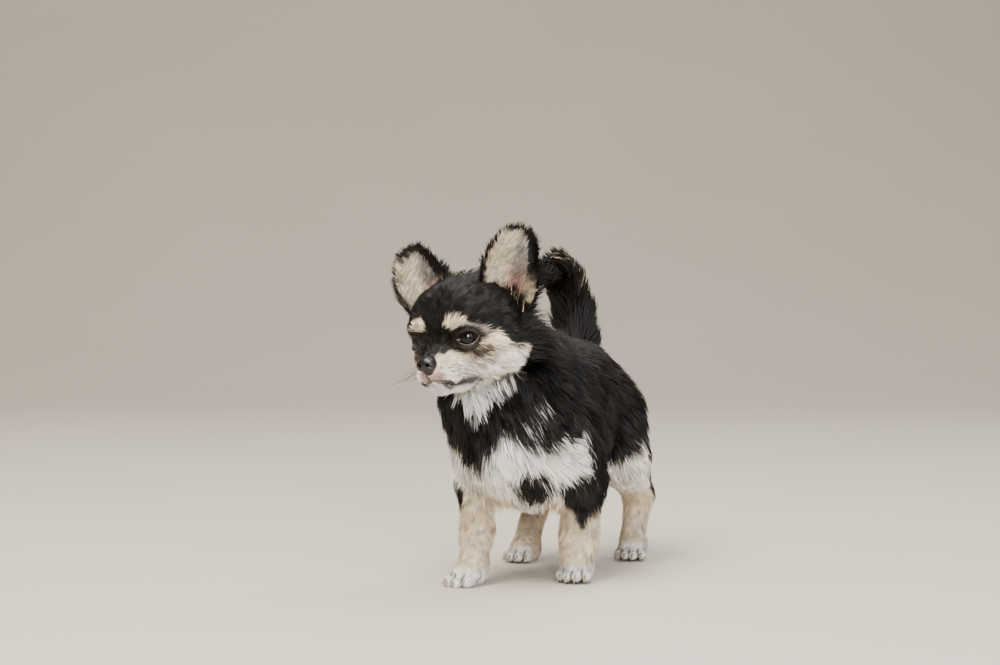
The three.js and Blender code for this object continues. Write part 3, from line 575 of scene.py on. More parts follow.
def lieOf(p, n, distances):
    q = toHead(p)
    share = sharesOf(distances, 3)
    x, y, z = p.T
    s = np.tanh(q[:, 0] / 8)
    onFace = np.stack([0.35 * s, np.ones(len(p)), 0.5 * np.clip((q[:, 2] + 7) / 14, -1.3, 1)], 1) @ headTurn.T
    onBack = np.stack([np.zeros(len(p)), np.full(len(p), 0.92), -0.3 - 0.4 * np.abs(n[:, 0])], 1)
    whorl = np.array((-2, -86, 92.0))
    v = p - whorl
    lift = smooth(8, 26, x) * smooth(66, 74, z) * smooth(96, 88, z)
    fan = np.stack([v[:, 0] * 0.9, 0.5 * np.abs(v[:, 0]), np.minimum(v[:, 2], 0) - 14 + 26 * lift], 1)
    front = smooth(-34, -56, y) * smooth(0.5, -0.35, n[:, 1])
    body = onBack * (1 - front)[:, None] + unit(fan) * front[:, None]
    down = -collar + n * 0.1 + np.array((0, 0.15, -0.35))
    lie = np.zeros_like(p)
    for i, name in enumerate(partNames):
        if parts[name]["inHead"]:
            way = onFace
        elif name in ("neck", "throat"):
            way = down
        elif name == "tail":
            k = np.argmin([form(p) for form in tailLimbs], 0)
            steps = unit(np.diff(np.array(tailPath, float), axis=0))
            way = steps[k] + n * 0.4
        elif "_" in name:
            part, side = name.split("_")
            leg = legs[part[:4] + "leg_" + side]
            if "thigh" in part:
                way = body * 0.4 + np.array((0, 0.25, -0.75))
            elif "shank" in part:
                way = unit(np.array(leg["wrist"], float) - leg["bend"]) + np.array((0, 0.15, -0.3))
            elif "cannon" in part:
                way = unit(np.array(leg["pastern"], float) - leg["wrist"]) + np.array((0, 0, -0.4))
            else:
                way = leg["inPaw"](0, -1, -0.55) - leg["paw"]
        else:
            way = body
        lie += unit(way * np.ones((len(p), 1))) * share[:, i:i + 1]
    return lie


def tangent(v, n):
    return unit(v - (v * n).sum(1, keepdims=True) * n)


# One small function adds a node with its settings and its links.
def addNode(tree, kind, settings=None, **links):
    node = tree.nodes.new(kind)
    for key, value in (settings or {}).items():
        if key in node.inputs and not hasattr(type(node), key):
            node.inputs[key].default_value = value
        else:
            setattr(node, key, value)
    for key, source in links.items():
        tree.links.new(source, node.inputs[key.replace("_", " ")])
    return node


def newMaterial(name):
    material = bpy.data.materials.new(name)
    material.use_nodes = True
    tree = material.node_tree
    tree.nodes.clear()
    return material, tree


def finishMaterial(tree, shader):
    output = addNode(tree, "ShaderNodeOutputMaterial")
    tree.links.new(shader.outputs[0], output.inputs[0])


# The colours painted on a piece, made a little uneven by noise.
def unevenPaint(tree, grain, least, most):
    painted = addNode(tree, "ShaderNodeAttribute", {"attribute_name": "coatColour"})
    place = addNode(tree, "ShaderNodeTexCoord")
    noise = addNode(tree, "ShaderNodeTexNoise", grain, Vector=place.outputs["Object"])
    level = addNode(tree, "ShaderNodeMapRange", {"To Min": least, "To Max": most}, Value=noise.outputs["Fac"])
    tinted = addNode(tree, "ShaderNodeVectorMath", {"operation": "SCALE"}, Vector=painted.outputs["Color"],
                     Scale=level.outputs[0])
    return tinted.outputs[0], noise.outputs["Fac"]


# One colour in two tones, mixed by noise.
def twoTones(tree, colour, least, most, grain):
    place = addNode(tree, "ShaderNodeTexCoord")
    noise = addNode(tree, "ShaderNodeTexNoise", grain, Vector=place.outputs["Object"])
    mix = addNode(tree, "ShaderNodeMix", {"data_type": "RGBA"})
    mix.inputs[6].default_value, mix.inputs[7].default_value = (*colour * least, 1), (*colour * most, 1)
    tree.links.new(noise.outputs["Fac"], mix.inputs[0])
    return mix.outputs[2]


# Puppy hair, grown: soft, with a satin sheen. Its colour comes from the markings, a little uneven between tufts.
hairLook = {"roughness": 0.46, "patch": 6.0, "uneven": 0.22, "specular": 0.2}


def makeHair():
    material, tree = newMaterial("puppyHair")
    paint, _ = unevenPaint(tree, {"Scale": 1000 / hairLook["patch"], "Detail": 3.0}, 1 - hairLook["uneven"],
                            1 + hairLook["uneven"])
    shader = addNode(tree, "ShaderNodeBsdfPrincipled",
                     {"Roughness": hairLook["roughness"], "IOR": 1.55, "Specular IOR Level": hairLook["specular"]},
                     Base_Color=paint)
    finishMaterial(tree, shader)
    return material


# Skin under the coat: the markings' colours again, dull, with pores and fine short hair as bump.
def makeSkin():
    material, tree = newMaterial("puppySkin")
    pores = {"Scale": 1400.0, "Detail": 4.0, "Roughness": 0.7}  # about 0.7 mm apart
    paint, grain = unevenPaint(tree, pores, 0.6, 1.15)
    bump = addNode(tree, "ShaderNodeBump", {"Strength": 0.5, "Distance": 0.0006}, Height=grain)
    shader = addNode(tree, "ShaderNodeBsdfPrincipled", {"Roughness": 0.62, "IOR": 1.45}, Base_Color=paint,
                     Normal=bump.outputs[0])
    finishMaterial(tree, shader)
    return material


hairMaterial, skinMaterial = makeHair(), makeSkin()

# The skin, one mesh from nose to tail, finest on the head.
skinRows = (gridRow(-66, -58, 1.7, 20, 0.85, 62, 1.7), gridRow(-142, -62, 0.85, 114, 1.8),
            gridRow(-2, 22, 1.1, 110, 1.8, 190, 0.9, 206, 1.8))
skinPoints, skinQuads = netOf(skinForm, skinRows)
skinPoints[:, 2] = np.maximum(skinPoints[:, 2], 0.0)
skin = meshPiece("skin", skinPoints, skinQuads, skinMaterial)
print("skin", len(skinPoints), "points")
skinNormals = np.zeros(len(skinPoints) * 3, np.float32)
skin.data.vertices.foreach_get("normal", skinNormals)
skinNormals = skinNormals.reshape(-1, 3).astype(float)
paintPiece(skin, markings(skinPoints))
bpy.context.view_layer.objects.active = skin
skin.select_set(True)
bpy.ops.object.mode_set(mode="EDIT")
bpy.ops.mesh.select_all(action="SELECT")
bpy.ops.uv.smart_project(angle_limit=math.radians(66), island_margin=0.002)
bpy.ops.object.mode_set(mode="OBJECT")
skin.data.uv_layers[0].name = "OFBake"
skinMap = np.zeros(len(skin.data.loops) * 2, np.float32)
skin.data.uv_layers[0].data.foreach_get("uv", skinMap)
skinMap = skinMap.reshape(-1, 2)
print("skin unwrapped")
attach(skin, "root")
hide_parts("head", "lower_jaw", "neck", "torso", "tail_root", "tail_plume", *legs,
            *[name.replace("leg", "paw") for name in legs])

# Roots of the hair, drawn over the skin's faces. A face's share of them grows with its area and its density.
loopVertex = np.zeros(len(skin.data.loops), np.int32)
skin.data.loops.foreach_get("vertex_index", loopVertex)
quadLoops = np.arange(len(loopVertex)).reshape(-1, 4)
triangleLoops = np.concatenate([quadLoops[:, (0, 1, 2)], quadLoops[:, (0, 2, 3)]])
triangles = loopVertex[triangleLoops]
corners3 = skinPoints[triangles]
areas = np.linalg.norm(np.cross(corners3[:, 1] - corners3[:, 0], corners3[:, 2] - corners3[:, 0]), axis=1) / 2
centres = corners3.mean(1)
centreShares = sharesOf(fleshAt(centres)[1])
nearest = np.argmax(centreShares, 1)


def drawRoots(chosen, perSquareMm):
    expected = areas[chosen] * perSquareMm
    count = int(expected.sum())
    pick = chance.choice(np.flatnonzero(chosen), size=count, p=expected / expected.sum())
    a, b = chance.random(count), chance.random(count)
    a, b = np.where(a + b > 1, 1 - a, a), np.where(a + b > 1, 1 - b, b)
    w = np.stack([1 - a - b, a, b], 1)
    place = (skinPoints[triangles[pick]] * w[:, :, None]).sum(1)
    normal = unit((skinNormals[triangles[pick]] * w[:, :, None]).sum(1))
    patch = (skinMap[triangleLoops[pick]] * w[:, :, None]).sum(1)
    return place, normal, patch


# A tuft is a closed three-sided blade with a pointed tip. Its tone rises from root to tip.
tuftSet = {"flat": 0.42, "ridge": 1.6, "rootTone": 0.68, "tipGain": 0.44, "patch": 0.0015, "sunk": 0.35,
           "taper": [0.85, 1.0, 0.7, 0.35], "lowest": 0.25}


def strandMesh(name, path, sides, widths, normals, colours, patch, lean=0.0):
    count, steps = path.shape[:2]
    ring = []
    for i in range(steps - 1):
        w = widths[:, i, None] / 2
        low = normals[:, i] * w * tuftSet["flat"]
        ring += [path[:, i] - sides[:, i] * w - low, path[:, i] + sides[:, i] * w - low,
                 path[:, i] + low * tuftSet["ridge"]]
    ring.append(path[:, -1])
    points = np.stack(ring, 1)
    own = points.shape[1]
    faces = [(0, 1, 2)]
    for i in range(steps - 2):
        a, b = 3 * i, 3 * i + 3
        for c, d in ((0, 1), (1, 2), (2, 0)):
            faces += [(a + c, b + d, a + d), (a + c, b + c, b + d)]
    a, tip = 3 * (steps - 2), own - 1
    faces += [(a, tip, a + 1), (a + 1, tip, a + 2), (a + 2, tip, a)]
    faces = np.array(faces)
    allFaces = (faces[None] + (np.arange(count) * own)[:, None, None]).reshape(-1, 3)
    piece = meshPiece(name, points.reshape(-1, 3), allFaces, hairMaterial)
    level = np.repeat(np.linspace(0, 1, steps), [3] * (steps - 1) + [1])
    tone = colours[:, None] * (tuftSet["rootTone"] + tuftSet["tipGain"] * level)[None, :, None]
    paintPiece(piece, tone.reshape(-1, 3))
    across = np.array(([-1, 1, 0] * (steps - 1)) + [0])
    uv = patch[:, None] + tuftSet["patch"] * np.stack([across, level * 2 - 1], 1)[None]
    writeMap(piece, np.clip(uv, 0, 1).reshape(-1, 2))
    section = [np.stack([-sides[:, i], sides[:, i], normals[:, i] * 0.6], 1) for i in range(steps - 1)]
    section = np.concatenate(section + [normals[:, -1:]], 1)
    shade = unit(np.repeat((normals.mean(1) + lean)[:, None], own, 1) * 0.8 + section * 0.6)
    piece.data.normals_split_custom_set_from_vertices(shade.reshape(-1, 3).astype(float).tolist())
    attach(piece, "root")
    return piece


# Tufts that start along the lie of the hair, keep off the flesh by their lift and fall a little at the tip.
def growCoat(name, chosen, perSquareMm, steps=3, clump=0.45, clumpEvery=16, fall=0.12, astray=0.16,
             lengthen=1.0, standing=1.0, highest=11):
    place, normal, patch = drawRoots(chosen, perSquareMm)
    count = len(place)
    whole, distances = fleshAt(place)
    share = sharesOf(distances)
    hair = share @ coatTable["hair"] * chance.uniform(0.72, 1.15, count) * lengthen
    lift = np.minimum(share @ coatTable["lift"] * standing, highest) * chance.uniform(0.75, 1.1, count)
    wide = share @ coatTable["wide"] * chance.uniform(0.75, 1.25, count)
    lie = tangent(lieOf(place, normal, distances), normal)
    sideways = np.cross(normal, lie)
    sway = waver(place, 24, 6)[:, None] * 0.22 + waver(place, 9, 7)[:, None] * 0.12
    lie = unit(lie + sideways * (sway + chance.normal(0, astray, (count, 1))))
    path = [place - normal * tuftSet["sunk"]]
    out, here = normal, place
    tufts = waver(place, 11, 8)
    for i in range(1, steps):
        t = i / (steps - 1)
        way = tangent(lie, out) + np.array((0, 0, -1)) * fall * t * 2
        way = unit(way + out * (lift / hair)[:, None] * (0.9 if i == 1 else 0.35))
        here = here + way * (hair / (steps - 1))[:, None]
        d = outerForm(here)
        out = unit(slopeOf(outerForm, here, 0.3)) if i < steps - 1 or steps > 3 else out
        want = whole + lift * (t ** 0.75) * (1 + 0.18 * tufts)
        gap = want - d
        here = here + out * np.where(gap > 0, gap, gap * (1 - fall * 1.6))[:, None]
        path.append(here)
        lie = way
    path = np.stack(path, 1)
    middle = place * 0.45 + path[:, -1] * 0.55
    colours = markings(middle, chance.normal(0, 1.0, count)) * chance.uniform(0.8, 1.2, (count, 1))
    coatPiece(name, place, normal, path, wide, colours, patch, clump, clumpEvery)


# Neighbours lean to one guide, so the coat breaks into clumps, each with its own tone; some clumps also get a painted
# grey sheen.
def coatPiece(name, place, normal, path, wide, colours, patch, clump=0.3, clumpEvery=16, tilt=0.0):
    count, steps = len(place), path.shape[1]
    guides = np.arange(0, count, clumpEvery)
    tree = KDTree(len(guides))
    for i, g in enumerate(guides):
        tree.insert(place[g], i)
    tree.balance()
    mine = np.array([guides[tree.find(p)[1]] for p in place])
    tuftTone = chance.normal(1, 0.2, count)[mine]
    lean = chance.normal(0, 0.28, (count, 3))[mine] + chance.normal(0, 0.1, (count, 3)) + tilt
    colours = colours * np.clip(tuftTone, 0.5, 1.4)[:, None]
    # Some clumps get grey-brown added: partly the coat's own lighter tufts, partly a painted sheen in place of the
    # glints on black hair.
    greyTuftsAndSheen = np.maximum(chance.normal(0, 1, count)[mine] + chance.normal(0, 0.6, count), 0)
    colours = colours + greyTuftsAndSheen[:, None] * np.array((0.0075, 0.0058, 0.0048))
    for i in range(1, steps):
        t = i / (steps - 1)
        pull = clump * t ** 1.5
        path[:, i] = path[:, i] * (1 - pull) + (path[mine, i] + (place - place[mine]) * 0.12) * pull
    path[:, :, 2] = np.maximum(path[:, :, 2], tuftSet["lowest"])
    ways = np.gradient(path, axis=1)
    over = np.repeat(normal[:, None], steps, 1)
    over = unit(over - (over * unit(ways)).sum(-1, keepdims=True) * unit(ways))
    sides = unit(np.cross(unit(ways), over))
    taper = np.array(tuftSet["taper"][:steps - 1] + [0])
    widths = wide[:, None] * taper
    strandMesh(name, path, sides, widths, over, colours, patch, lean)
    print(name, count, "tufts", count * (6 * steps - 8), "triangles")


def isPart(*words):
    return np.isin(nearest, [i for i, n in enumerate(partNames) if any(w in n for w in words)])


headCentres = toHead(centres)
bare = np.zeros(len(centres), bool)
for s in both:
    x, y, z, far = fromEye(headCentres, s)
    bare |= (eyeRing(x, y, 0.9) < 1) & (z > -2)
    bare |= far < eyeSet["radius"] + 0.6
bare |= egg((0, -47.5, -12.4), 6.2, 6.2, 6.2)(headCentres) < 0
bare |= (mouthGap(headCentres) < 0.25) & (headCentres[:, 1] < -10)
bare |= centres[:, 2] < 0.6
behindEar = (headCentres[:, 1] > 8) & (headCentres[:, 0] > -2) & (np.abs(headCentres[:, 2] - 4) < 28)
behindEar &= isPart("skull", "cheeks", "neck") & (headCentres[:, 1] < 60)
underChest = isPart("breast", "ribs") & (centres[:, 2] < 62) & (centres[:, 1] < -36)
underChest &= np.abs(centres[:, 0] - 5) < 15
betweenEars = (np.abs(headCentres[:, 0] + 12) < 10) & (np.abs(headCentres[:, 1] - 8) < 9) & (headCentres[:, 2] > 20)
# Each piece of the coat: where it grows, how many tufts to a square mm, and how they grow.
coatPieces = [
    ("coat_muzzle", isPart("muzzle", "jaw", "lids"), 9.0, {"steps": 2, "clump": 0.1}),
    ("coat_brow", isPart("brow") | (isPart("skull") & (headCentres[:, 1] < -8)), 2.3, {"clump": 0.35}),
    ("coat_skull", isPart("skull") & (headCentres[:, 1] >= -8), 2.4, {"clump": 0.6, "clumpEvery": 26}),
    ("coat_cheeks", isPart("cheeks"), 3.2, {"clump": 0.55, "clumpEvery": 24}),
    ("coat_neck", isPart("neck", "throat"), 0.85, {"steps": 4, "clump": 0.5}),
    ("coat_chest", isPart("breast", "ribs") & (centres[:, 1] < -42), 1.3, {"steps": 4, "clump": 0.55}),
    ("coat_flanks", isPart("ribs", "belly") & (centres[:, 1] >= -42), 0.6, {"steps": 4}),
    ("coat_back", isPart("saddle", "rump"), 0.55, {"steps": 4}),
    ("coat_forethigh", isPart("forethigh"), 0.8, {"steps": 4}),
    ("coat_hindthigh", isPart("hindthigh"), 0.6, {"steps": 4}),
    ("coat_legs", isPart("shank", "cannon"), 2.3, {"steps": 2, "clump": 0.15, "fall": 0.05}),
    ("coat_paws", isPart("paw"), 4.6, {"steps": 2, "clump": 0.1, "fall": 0.0}),
    ("coat_tail", isPart("tail"), 1.1, {"steps": 4, "fall": 0.0}),
    ("coat_ruff", behindEar, 0.7, {"steps": 5, "clump": 0.6, "lengthen": 1.5, "standing": 3.4, "astray": 0.35,
                                   "fall": 0.0, "highest": 15}),
    ("coat_apron", underChest, 0.7, {"steps": 5, "clump": 0.65, "lengthen": 1.2, "fall": 0.45}),
    ("coat_fringe", betweenEars, 0.5, {"steps": 4, "clump": 0.7, "standing": 2.6, "astray": 0.6, "fall": 0.0}),
]
for name, chosen, density, how in coatPieces:
    growCoat(name, chosen & ~bare, density, **how)

# The ears: a leaf of thin skin each, cupped to the front and turned outward, with a soft rim.
earSet = {"thick": 1.5, "wide": 17.2, "along": 44, "across": 30, "strand": 0.36}
earSides = {1: {"outward": 22, "base": (25, 6, 10), "tip": (41.2, 10.8, 53.6)},
            -1: {"outward": -8, "base": (-22, 7, 10), "tip": (-38.4, 11.8, 49.2)}}


def earFrame(s):
    base, tip = np.array(earSides[s]["base"], float), np.array(earSides[s]["tip"], float)
    up = unit(tip - base)
    turn = math.radians(earSides[s]["outward"])
    out = np.array((s * math.sin(turn), -math.cos(turn), 0))
    out = unit(out - up * (out @ up))
    return base, tip, up, out, np.cross(out, up)


def earPlace(s, u, v, side):
    base, tip, _, out, across = earFrame(s)
    over = np.clip((v - 0.4) / 0.63, 0, 1)
    wide = np.where(v > 0.4, earSet["wide"] * np.maximum(1 - over ** 2.0, 0) ** 0.72,
                    earSet["wide"] - 3.4 * np.clip((0.4 - v) / 0.4, 0, 1.4) ** 1.6)
    hollow = np.interp(v, [-0.15, 0, 0.12, 0.25, 0.5, 0.75, 1.03], [9, 9, 9, 8.2, 5.6, 2.8, 0.2])
    thick = earSet["thick"] * np.sqrt(np.maximum(1 - np.abs(u) ** 3, 0)) * np.interp(v, [0.8, 1.03], [1, 0.3])
    deep = -hollow * (1 - u * u) + side * thick / 2 + 2.2 * np.sin(3 * v)
    rimCurl = 1.6 * smooth(0.7, 1, np.abs(u)) * smooth(1.0, 0.6, v)
    place = base + np.outer(v, tip - base) + np.outer(u * wide, across) + np.outer(deep + rimCurl, out)
    return fromHead(place)


def earNormal(s, u, v, side):
    e = 0.01
    a = earPlace(s, np.clip(u + e, -1, 1), v, side) - earPlace(s, np.clip(u - e, -1, 1), v, side)
    b = earPlace(s, u, v + e, side) - earPlace(s, u, v - e, side)
    return unit(np.cross(b, a)) * side


def earColour(s, u, v, side):
    place = earPlace(s, u, v, side)
    ragged = waver(place, 5, 11) * 0.05
    rim = np.maximum(smooth(0.82, 0.94, np.abs(u) + ragged), smooth(0.85, 0.94, v + ragged))
    lateral = smooth(-0.42, -0.58, u + ragged) * smooth(0.28, 0.42, v + ragged)
    inner = coatColours["grey"] * 1.3
    pink = smooth(0.55, 0.15, v) * smooth(0.75, 0.3, np.abs(u + 0.1))
    inner = inner * (1 - pink[:, None]) + coatColours["pink"] * pink[:, None]
    pale = smooth(0.05, 0.5, u + ragged)[:, None]
    inner = inner * (1 - pale) + coatColours["cream"] * 0.9 * pale
    pale = (smooth(-0.3, -0.6, u + ragged) * smooth(0.42, 0.3, v))[:, None]
    inner = inner * (1 - pale) + coatColours["cream"] * 0.9 * pale
    low = smooth(0.16, 0.05, v + ragged)
    black = np.maximum(np.maximum(rim, lateral), low)[:, None]
    inner = inner * (1 - black) + coatColours["black"] * black
    return inner if side > 0 else np.tile(coatColours["black"], (len(place), 1))


def makeEar(s, name):
    n, m = earSet["across"], earSet["along"]
    u = np.sin(np.linspace(-math.pi / 2, math.pi / 2, n))
    v = np.linspace(-0.12, 1.02, m)
    uu, vv = [g.ravel() for g in np.meshgrid(u, v)]
    front, back = earPlace(s, uu, vv, 1), earPlace(s, uu, vv, -1)
    grid = np.arange(n * m).reshape(m, n)
    a, b, c, d = grid[:-1, :-1], grid[:-1, 1:], grid[1:, 1:], grid[1:, :-1]
    quads = np.stack([a, b, c, d], -1).reshape(-1, 4)
    size = n * m
    p = np.concatenate([grid[0], grid[1:, -1], grid[-1, -2::-1], grid[-2:0:-1, 0]])
    q = np.roll(p, -1)
    faces = np.concatenate([quads, quads[:, ::-1] + size, np.stack([q, p, p + size, q + size], 1)])
    turn = np.cross(front[n + 1] - front[n], front[2 * n] - front[n])
    if turn @ earNormal(s, uu[n:n + 1], vv[n:n + 1], 1)[0] < 0:
        faces = faces[:, ::-1]
    piece = meshPiece(name, np.concatenate([front, back]), faces, skinMaterial)
    paintPiece(piece, np.concatenate([earColour(s, uu, vv, 1), earColour(s, uu, vv, -1)]))
    writeMap(piece, np.concatenate([earMap(uu, vv, 1), earMap(uu, vv, -1)]))
    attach(piece, "root")
    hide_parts(name)
    return piece


def earMap(u, v, side):
    return np.stack([0.25 + 0.22 * u + (0.5 if side < 0 else 0), 0.06 + 0.8 * (v + 0.12) / 1.14], 1)


# Where an ear's hair grows: its kind, the side of the leaf (1 is the front), how many, u and v from and to,
# length and stand in mm, and the way that it lies across and up the leaf.
earHair = {s: [
    ("back", -1, 2200, (-1, 1), (-0.05, 1.0), 6.0, 1.7, (0.1, 1.0)),
    ("rim", 1, 850, (0.78, 1.0), (0.0, 0.97), 6.5, 1.8, (0.45, 1.0)),
    ("rim", 1, 850, (-1.0, -0.78), (0.0, 0.97), 6.5, 1.8, (-0.45, 1.0)),
    ("down", 1, 1300, (-0.85, 0.9), (0.0, 0.9), 3.6, 0.7, (-0.1, 1.0)),
    ("fan", 1, 1200, (0.15, 0.88), (0.0, 0.88), 9.0, 1.6, (-0.8, 1.0 if s > 0 else 0.35)),
    ("fan", 1, 450, (-0.4, 0.2), (0.15, 0.85), 6.5, 1.2, (-0.5, 1.0 if s > 0 else 0.5)),
    ("fan", 1, 220, (-0.85, -0.45), (0.14, 0.42), 8.0, 2.2, (-0.6, 0.5)),
    ("back", -1, 350, (-1.0, -0.7), (-0.05, 0.6), 8.5, 3.4, (-1.0, 0.35)),
    ("foot", 1, 380, (-0.8, 0.8), (-0.1, 0.12), 12.0, 3.0, (0.0, 1.0)),
    ("tassel", 1, 120 if s > 0 else 20, (-0.97, -0.72), (0.1, 0.24), 11.5, 4.5, (-0.9, 0.45)),
    ("tip", 1, 450, (-0.9, 0.9), (0.88, 1.0), 4.0, 1.0, (0.0, 1.0)),
] for s in both}


def growEar(s, name):
    up, out, across = [w @ headTurn.T for w in earFrame(s)[2:]]
    groups = []
    for kind, side, count, us, vs, hair, lift, way in earHair[s]:
        u, v = chance.uniform(*us, count), chance.uniform(*vs, count)
        place, normal = earPlace(s, u, v, side), earNormal(s, u, v, side)
        spread = u * 0.35 if kind in ("back", "down") else 0
        lie = np.outer(way[0] + spread + chance.normal(0, 0.2, count), across) + up * way[1]
        lie = tangent(lie, normal)
        length = hair * chance.uniform(0.6, 1.2, count)
        colours = earColour(s, u, v, side)
        if kind == "foot":  # mostly dark, with light hairs between
            dark = chance.random(count) < 0.8
            colours = np.where(dark[:, None], coatColours["black"], coatColours["cream"] * 0.85)
        if kind == "tassel":
            colours = np.tile(coatColours["cream"], (count, 1))
        path = [place - normal * 0.2]
        for t in (0.5, 1.0):
            curl = waver(place, 7, 12)[:, None] * 0.25 * t
            path.append(place + unit(lie + across * curl) * (length * t)[:, None]
                        + normal * (lift * t ** 0.7 * chance.uniform(0.7, 1.2, count))[:, None])
        # hair at the back's rim is shaded as if it leaned forward, as it would look black from the front
        atRim = (side < 0) * np.maximum(smooth(0.7, 0.92, v), smooth(0.6, 0.9, np.abs(u)))
        groups.append((place, normal, np.stack(path, 1), earSet["strand"] * chance.uniform(0.8, 1.3, count),
                       colours * chance.uniform(0.5, 1.2, (count, 1)), earMap(u, v, side),
                       np.outer(atRim, up * 0.8 + out * 1.5)))
    place, normal, path, wide, colours, patch, tilt = [np.concatenate(one) for one in zip(*groups)]
    coatPiece(name, place, normal, path, wide, colours, patch, 0.2, 9, tilt=tilt)


sides = {1: "left", -1: "right"}
for s, side in sides.items():
    makeEar(s, "ear_" + side)
    growEar(s, "coat_ear_" + side)
print("ears")


def turned(s, points, frameOf):
    across, up, out = frameOf
    points = np.asarray(points, float)
    return fromHead(eyeMiddle[s] + points[:, :1] * across + points[:, 1:2] * up + points[:, 2:3] * out)


def lathe(profile, turns):
    angles = np.linspace(0, 2 * math.pi, turns, endpoint=False)
    points = [(r * math.cos(a), r * math.sin(a), z) for r, z in profile[1:-1] for a in angles]
    points = [(0, 0, profile[0][1])] + points + [(0, 0, profile[-1][1])]
    faces = []
    rings = len(profile) - 2
    for i in range(turns):
        k = (i + 1) % turns
        faces.append((0, 1 + i, 1 + k, 1 + k))
        for ring in range(rings - 1):
            a, b = 1 + ring * turns, 1 + (ring + 1) * turns
            faces.append((a + i, b + i, b + k, a + k))
        last = 1 + (rings - 1) * turns
        faces.append((last + i, len(points) - 1, len(points) - 1, last + k))
    return np.array(points), faces


def anyMesh(name, points, faces, material):
    mesh = bpy.data.meshes.new(name)
    mesh.from_pydata([tuple(p) for p in toScene(points)], [], [tuple(dict.fromkeys(face)) for face in faces])
    shell = bmesh.new()
    shell.from_mesh(mesh)
    bmesh.ops.recalc_face_normals(shell, faces=shell.faces)
    shell.to_mesh(mesh)
    shell.free()
    piece = showMesh(mesh, material)
    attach(piece, "root")
    return piece


# Eyes: glass over a painted iris, as a model maker sets them. The iris is almost black, with a brown ring.
irisSet = {"radius": 5.5, "pupil": 2.6, "depth": 0.45, "cornea": 7.7, "sink": 0.55, "rise": 0.06}
gaze = {1: 8, -1: 33}  # degrees outward, left and right


def makeEyeMaterials():
    # Painted resin under the glass: dull, so that only the cornea glints. Its flecks are about 0.45 mm.
    ball, tree = newMaterial("wetEyeball")
    paint, _ = unevenPaint(tree, {"Scale": 2200.0, "Detail": 3.0}, 0.7, 1.3)
    shader = addNode(tree, "ShaderNodeBsdfPrincipled", {"Roughness": 0.45, "IOR": 1.38, "Specular IOR Level": 0.08},
                     Base_Color=paint)
    finishMaterial(tree, shader)
    # Clear cast resin, polished: sharp reflections, and the iris magnified a little.
    glass, tree = newMaterial("clearCornea")
    shader = addNode(tree, "ShaderNodeBsdfPrincipled", {"Roughness": 0.0, "IOR": 1.38, "Transmission Weight": 1.0})
    finishMaterial(tree, shader)
    return ball, glass


def makeEye(s, side, ballMaterial, glassMaterial):
    r, iris = eyeSet["radius"] - 0.1, irisSet["radius"]
    edge = math.asin(iris / r)
    rim = r * math.cos(edge)
    profile = [(0, rim - irisSet["depth"] - 0.3), (irisSet["pupil"] * 0.5, rim - irisSet["depth"] - 0.3),
               (irisSet["pupil"], rim - irisSet["depth"])]
    profile += [(irisSet["pupil"] + (iris - irisSet["pupil"]) * t, rim - irisSet["depth"] * (1 - t))
                for t in np.linspace(0.12, 1, 8)]
    profile += [(r * math.sin(a), r * math.cos(a)) for a in np.linspace(edge, math.pi, 24)[1:-1]] + [(0, -r)]
    points, faces = lathe(profile, 48)
    rho, z = np.hypot(points[:, 0], points[:, 1]), points[:, 2]
    front = z > 0
    angle = np.arctan2(points[:, 1], points[:, 0])
    fibre = 1 + 0.25 * np.sin(angle * 23) * np.sin(angle * 9 + 1)
    brown = linear("#1e110a")[None] * fibre[:, None]
    colour = np.where(((rho < irisSet["pupil"] + 0.1) & front)[:, None], linear("#050404"), brown)
    limbus = smooth(iris - 1.2, iris, rho)[:, None]
    colour = colour * (1 - limbus) + linear("#0b0706") * limbus
    white = (smooth(iris + 0.1, iris + 0.8, rho) * front + ~front)[:, None]
    colour = colour * (1 - white) + linear("#241a16") * white
    axes = outwardAxes(s, gaze[s], irisSet["rise"])
    ball = anyMesh("eye_" + side, turned(s, points - (0, 0, irisSet["sink"]), axes),
                   [f[::-1] for f in faces], ballMaterial)
    paintPiece(ball, colour)
    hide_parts("eye_" + side)
    top, wide = irisSet["cornea"], iris + 0.15
    bend = ((top - rim) ** 2 + wide ** 2) / (2 * (top - rim))
    dome = [(0, top)] + [(wide * t, top - bend + math.sqrt(bend * bend - (wide * t) ** 2))
                         for t in np.linspace(0.08, 1, 12)]
    dome += [(wide - 0.4, rim - 1.1), (0, rim - 1.1)]
    points, faces = lathe(dome, 48)
    cornea = anyMesh("cornea_" + side, turned(s, points - (0, 0, irisSet["sink"]), axes),
                     [f[::-1] for f in faces], glassMaterial)


# Bare skin and horn: nose leather, lips and lid rims are moist with fine pebbles, and claws and whiskers smoother.
# Roughness, then the size of the grain and the depth of its bumps in mm.
def makeLeather(name, hexText, roughness, grain, depth):
    material, tree = newMaterial(name)
    place = addNode(tree, "ShaderNodeTexCoord")
    cells = addNode(tree, "ShaderNodeTexVoronoi", {"feature": "DISTANCE_TO_EDGE", "Scale": 1000 / grain},
                    Vector=place.outputs["Object"])
    bump = addNode(tree, "ShaderNodeBump", {"Strength": 0.6, "Distance": depth / 1000},
                   Height=cells.outputs["Distance"])
    tones = twoTones(tree, linear(hexText), 0.6, 1.7, {"Scale": 600.0, "Detail": 3.0})  # blotches of about 1.7 mm
    shader = addNode(tree, "ShaderNodeBsdfPrincipled", {"Roughness": roughness, "IOR": 1.45, "Coat Weight": 0.2,
                     "Coat Roughness": 0.15}, Base_Color=tones, Normal=bump.outputs[0])
    finishMaterial(tree, shader)
    return material


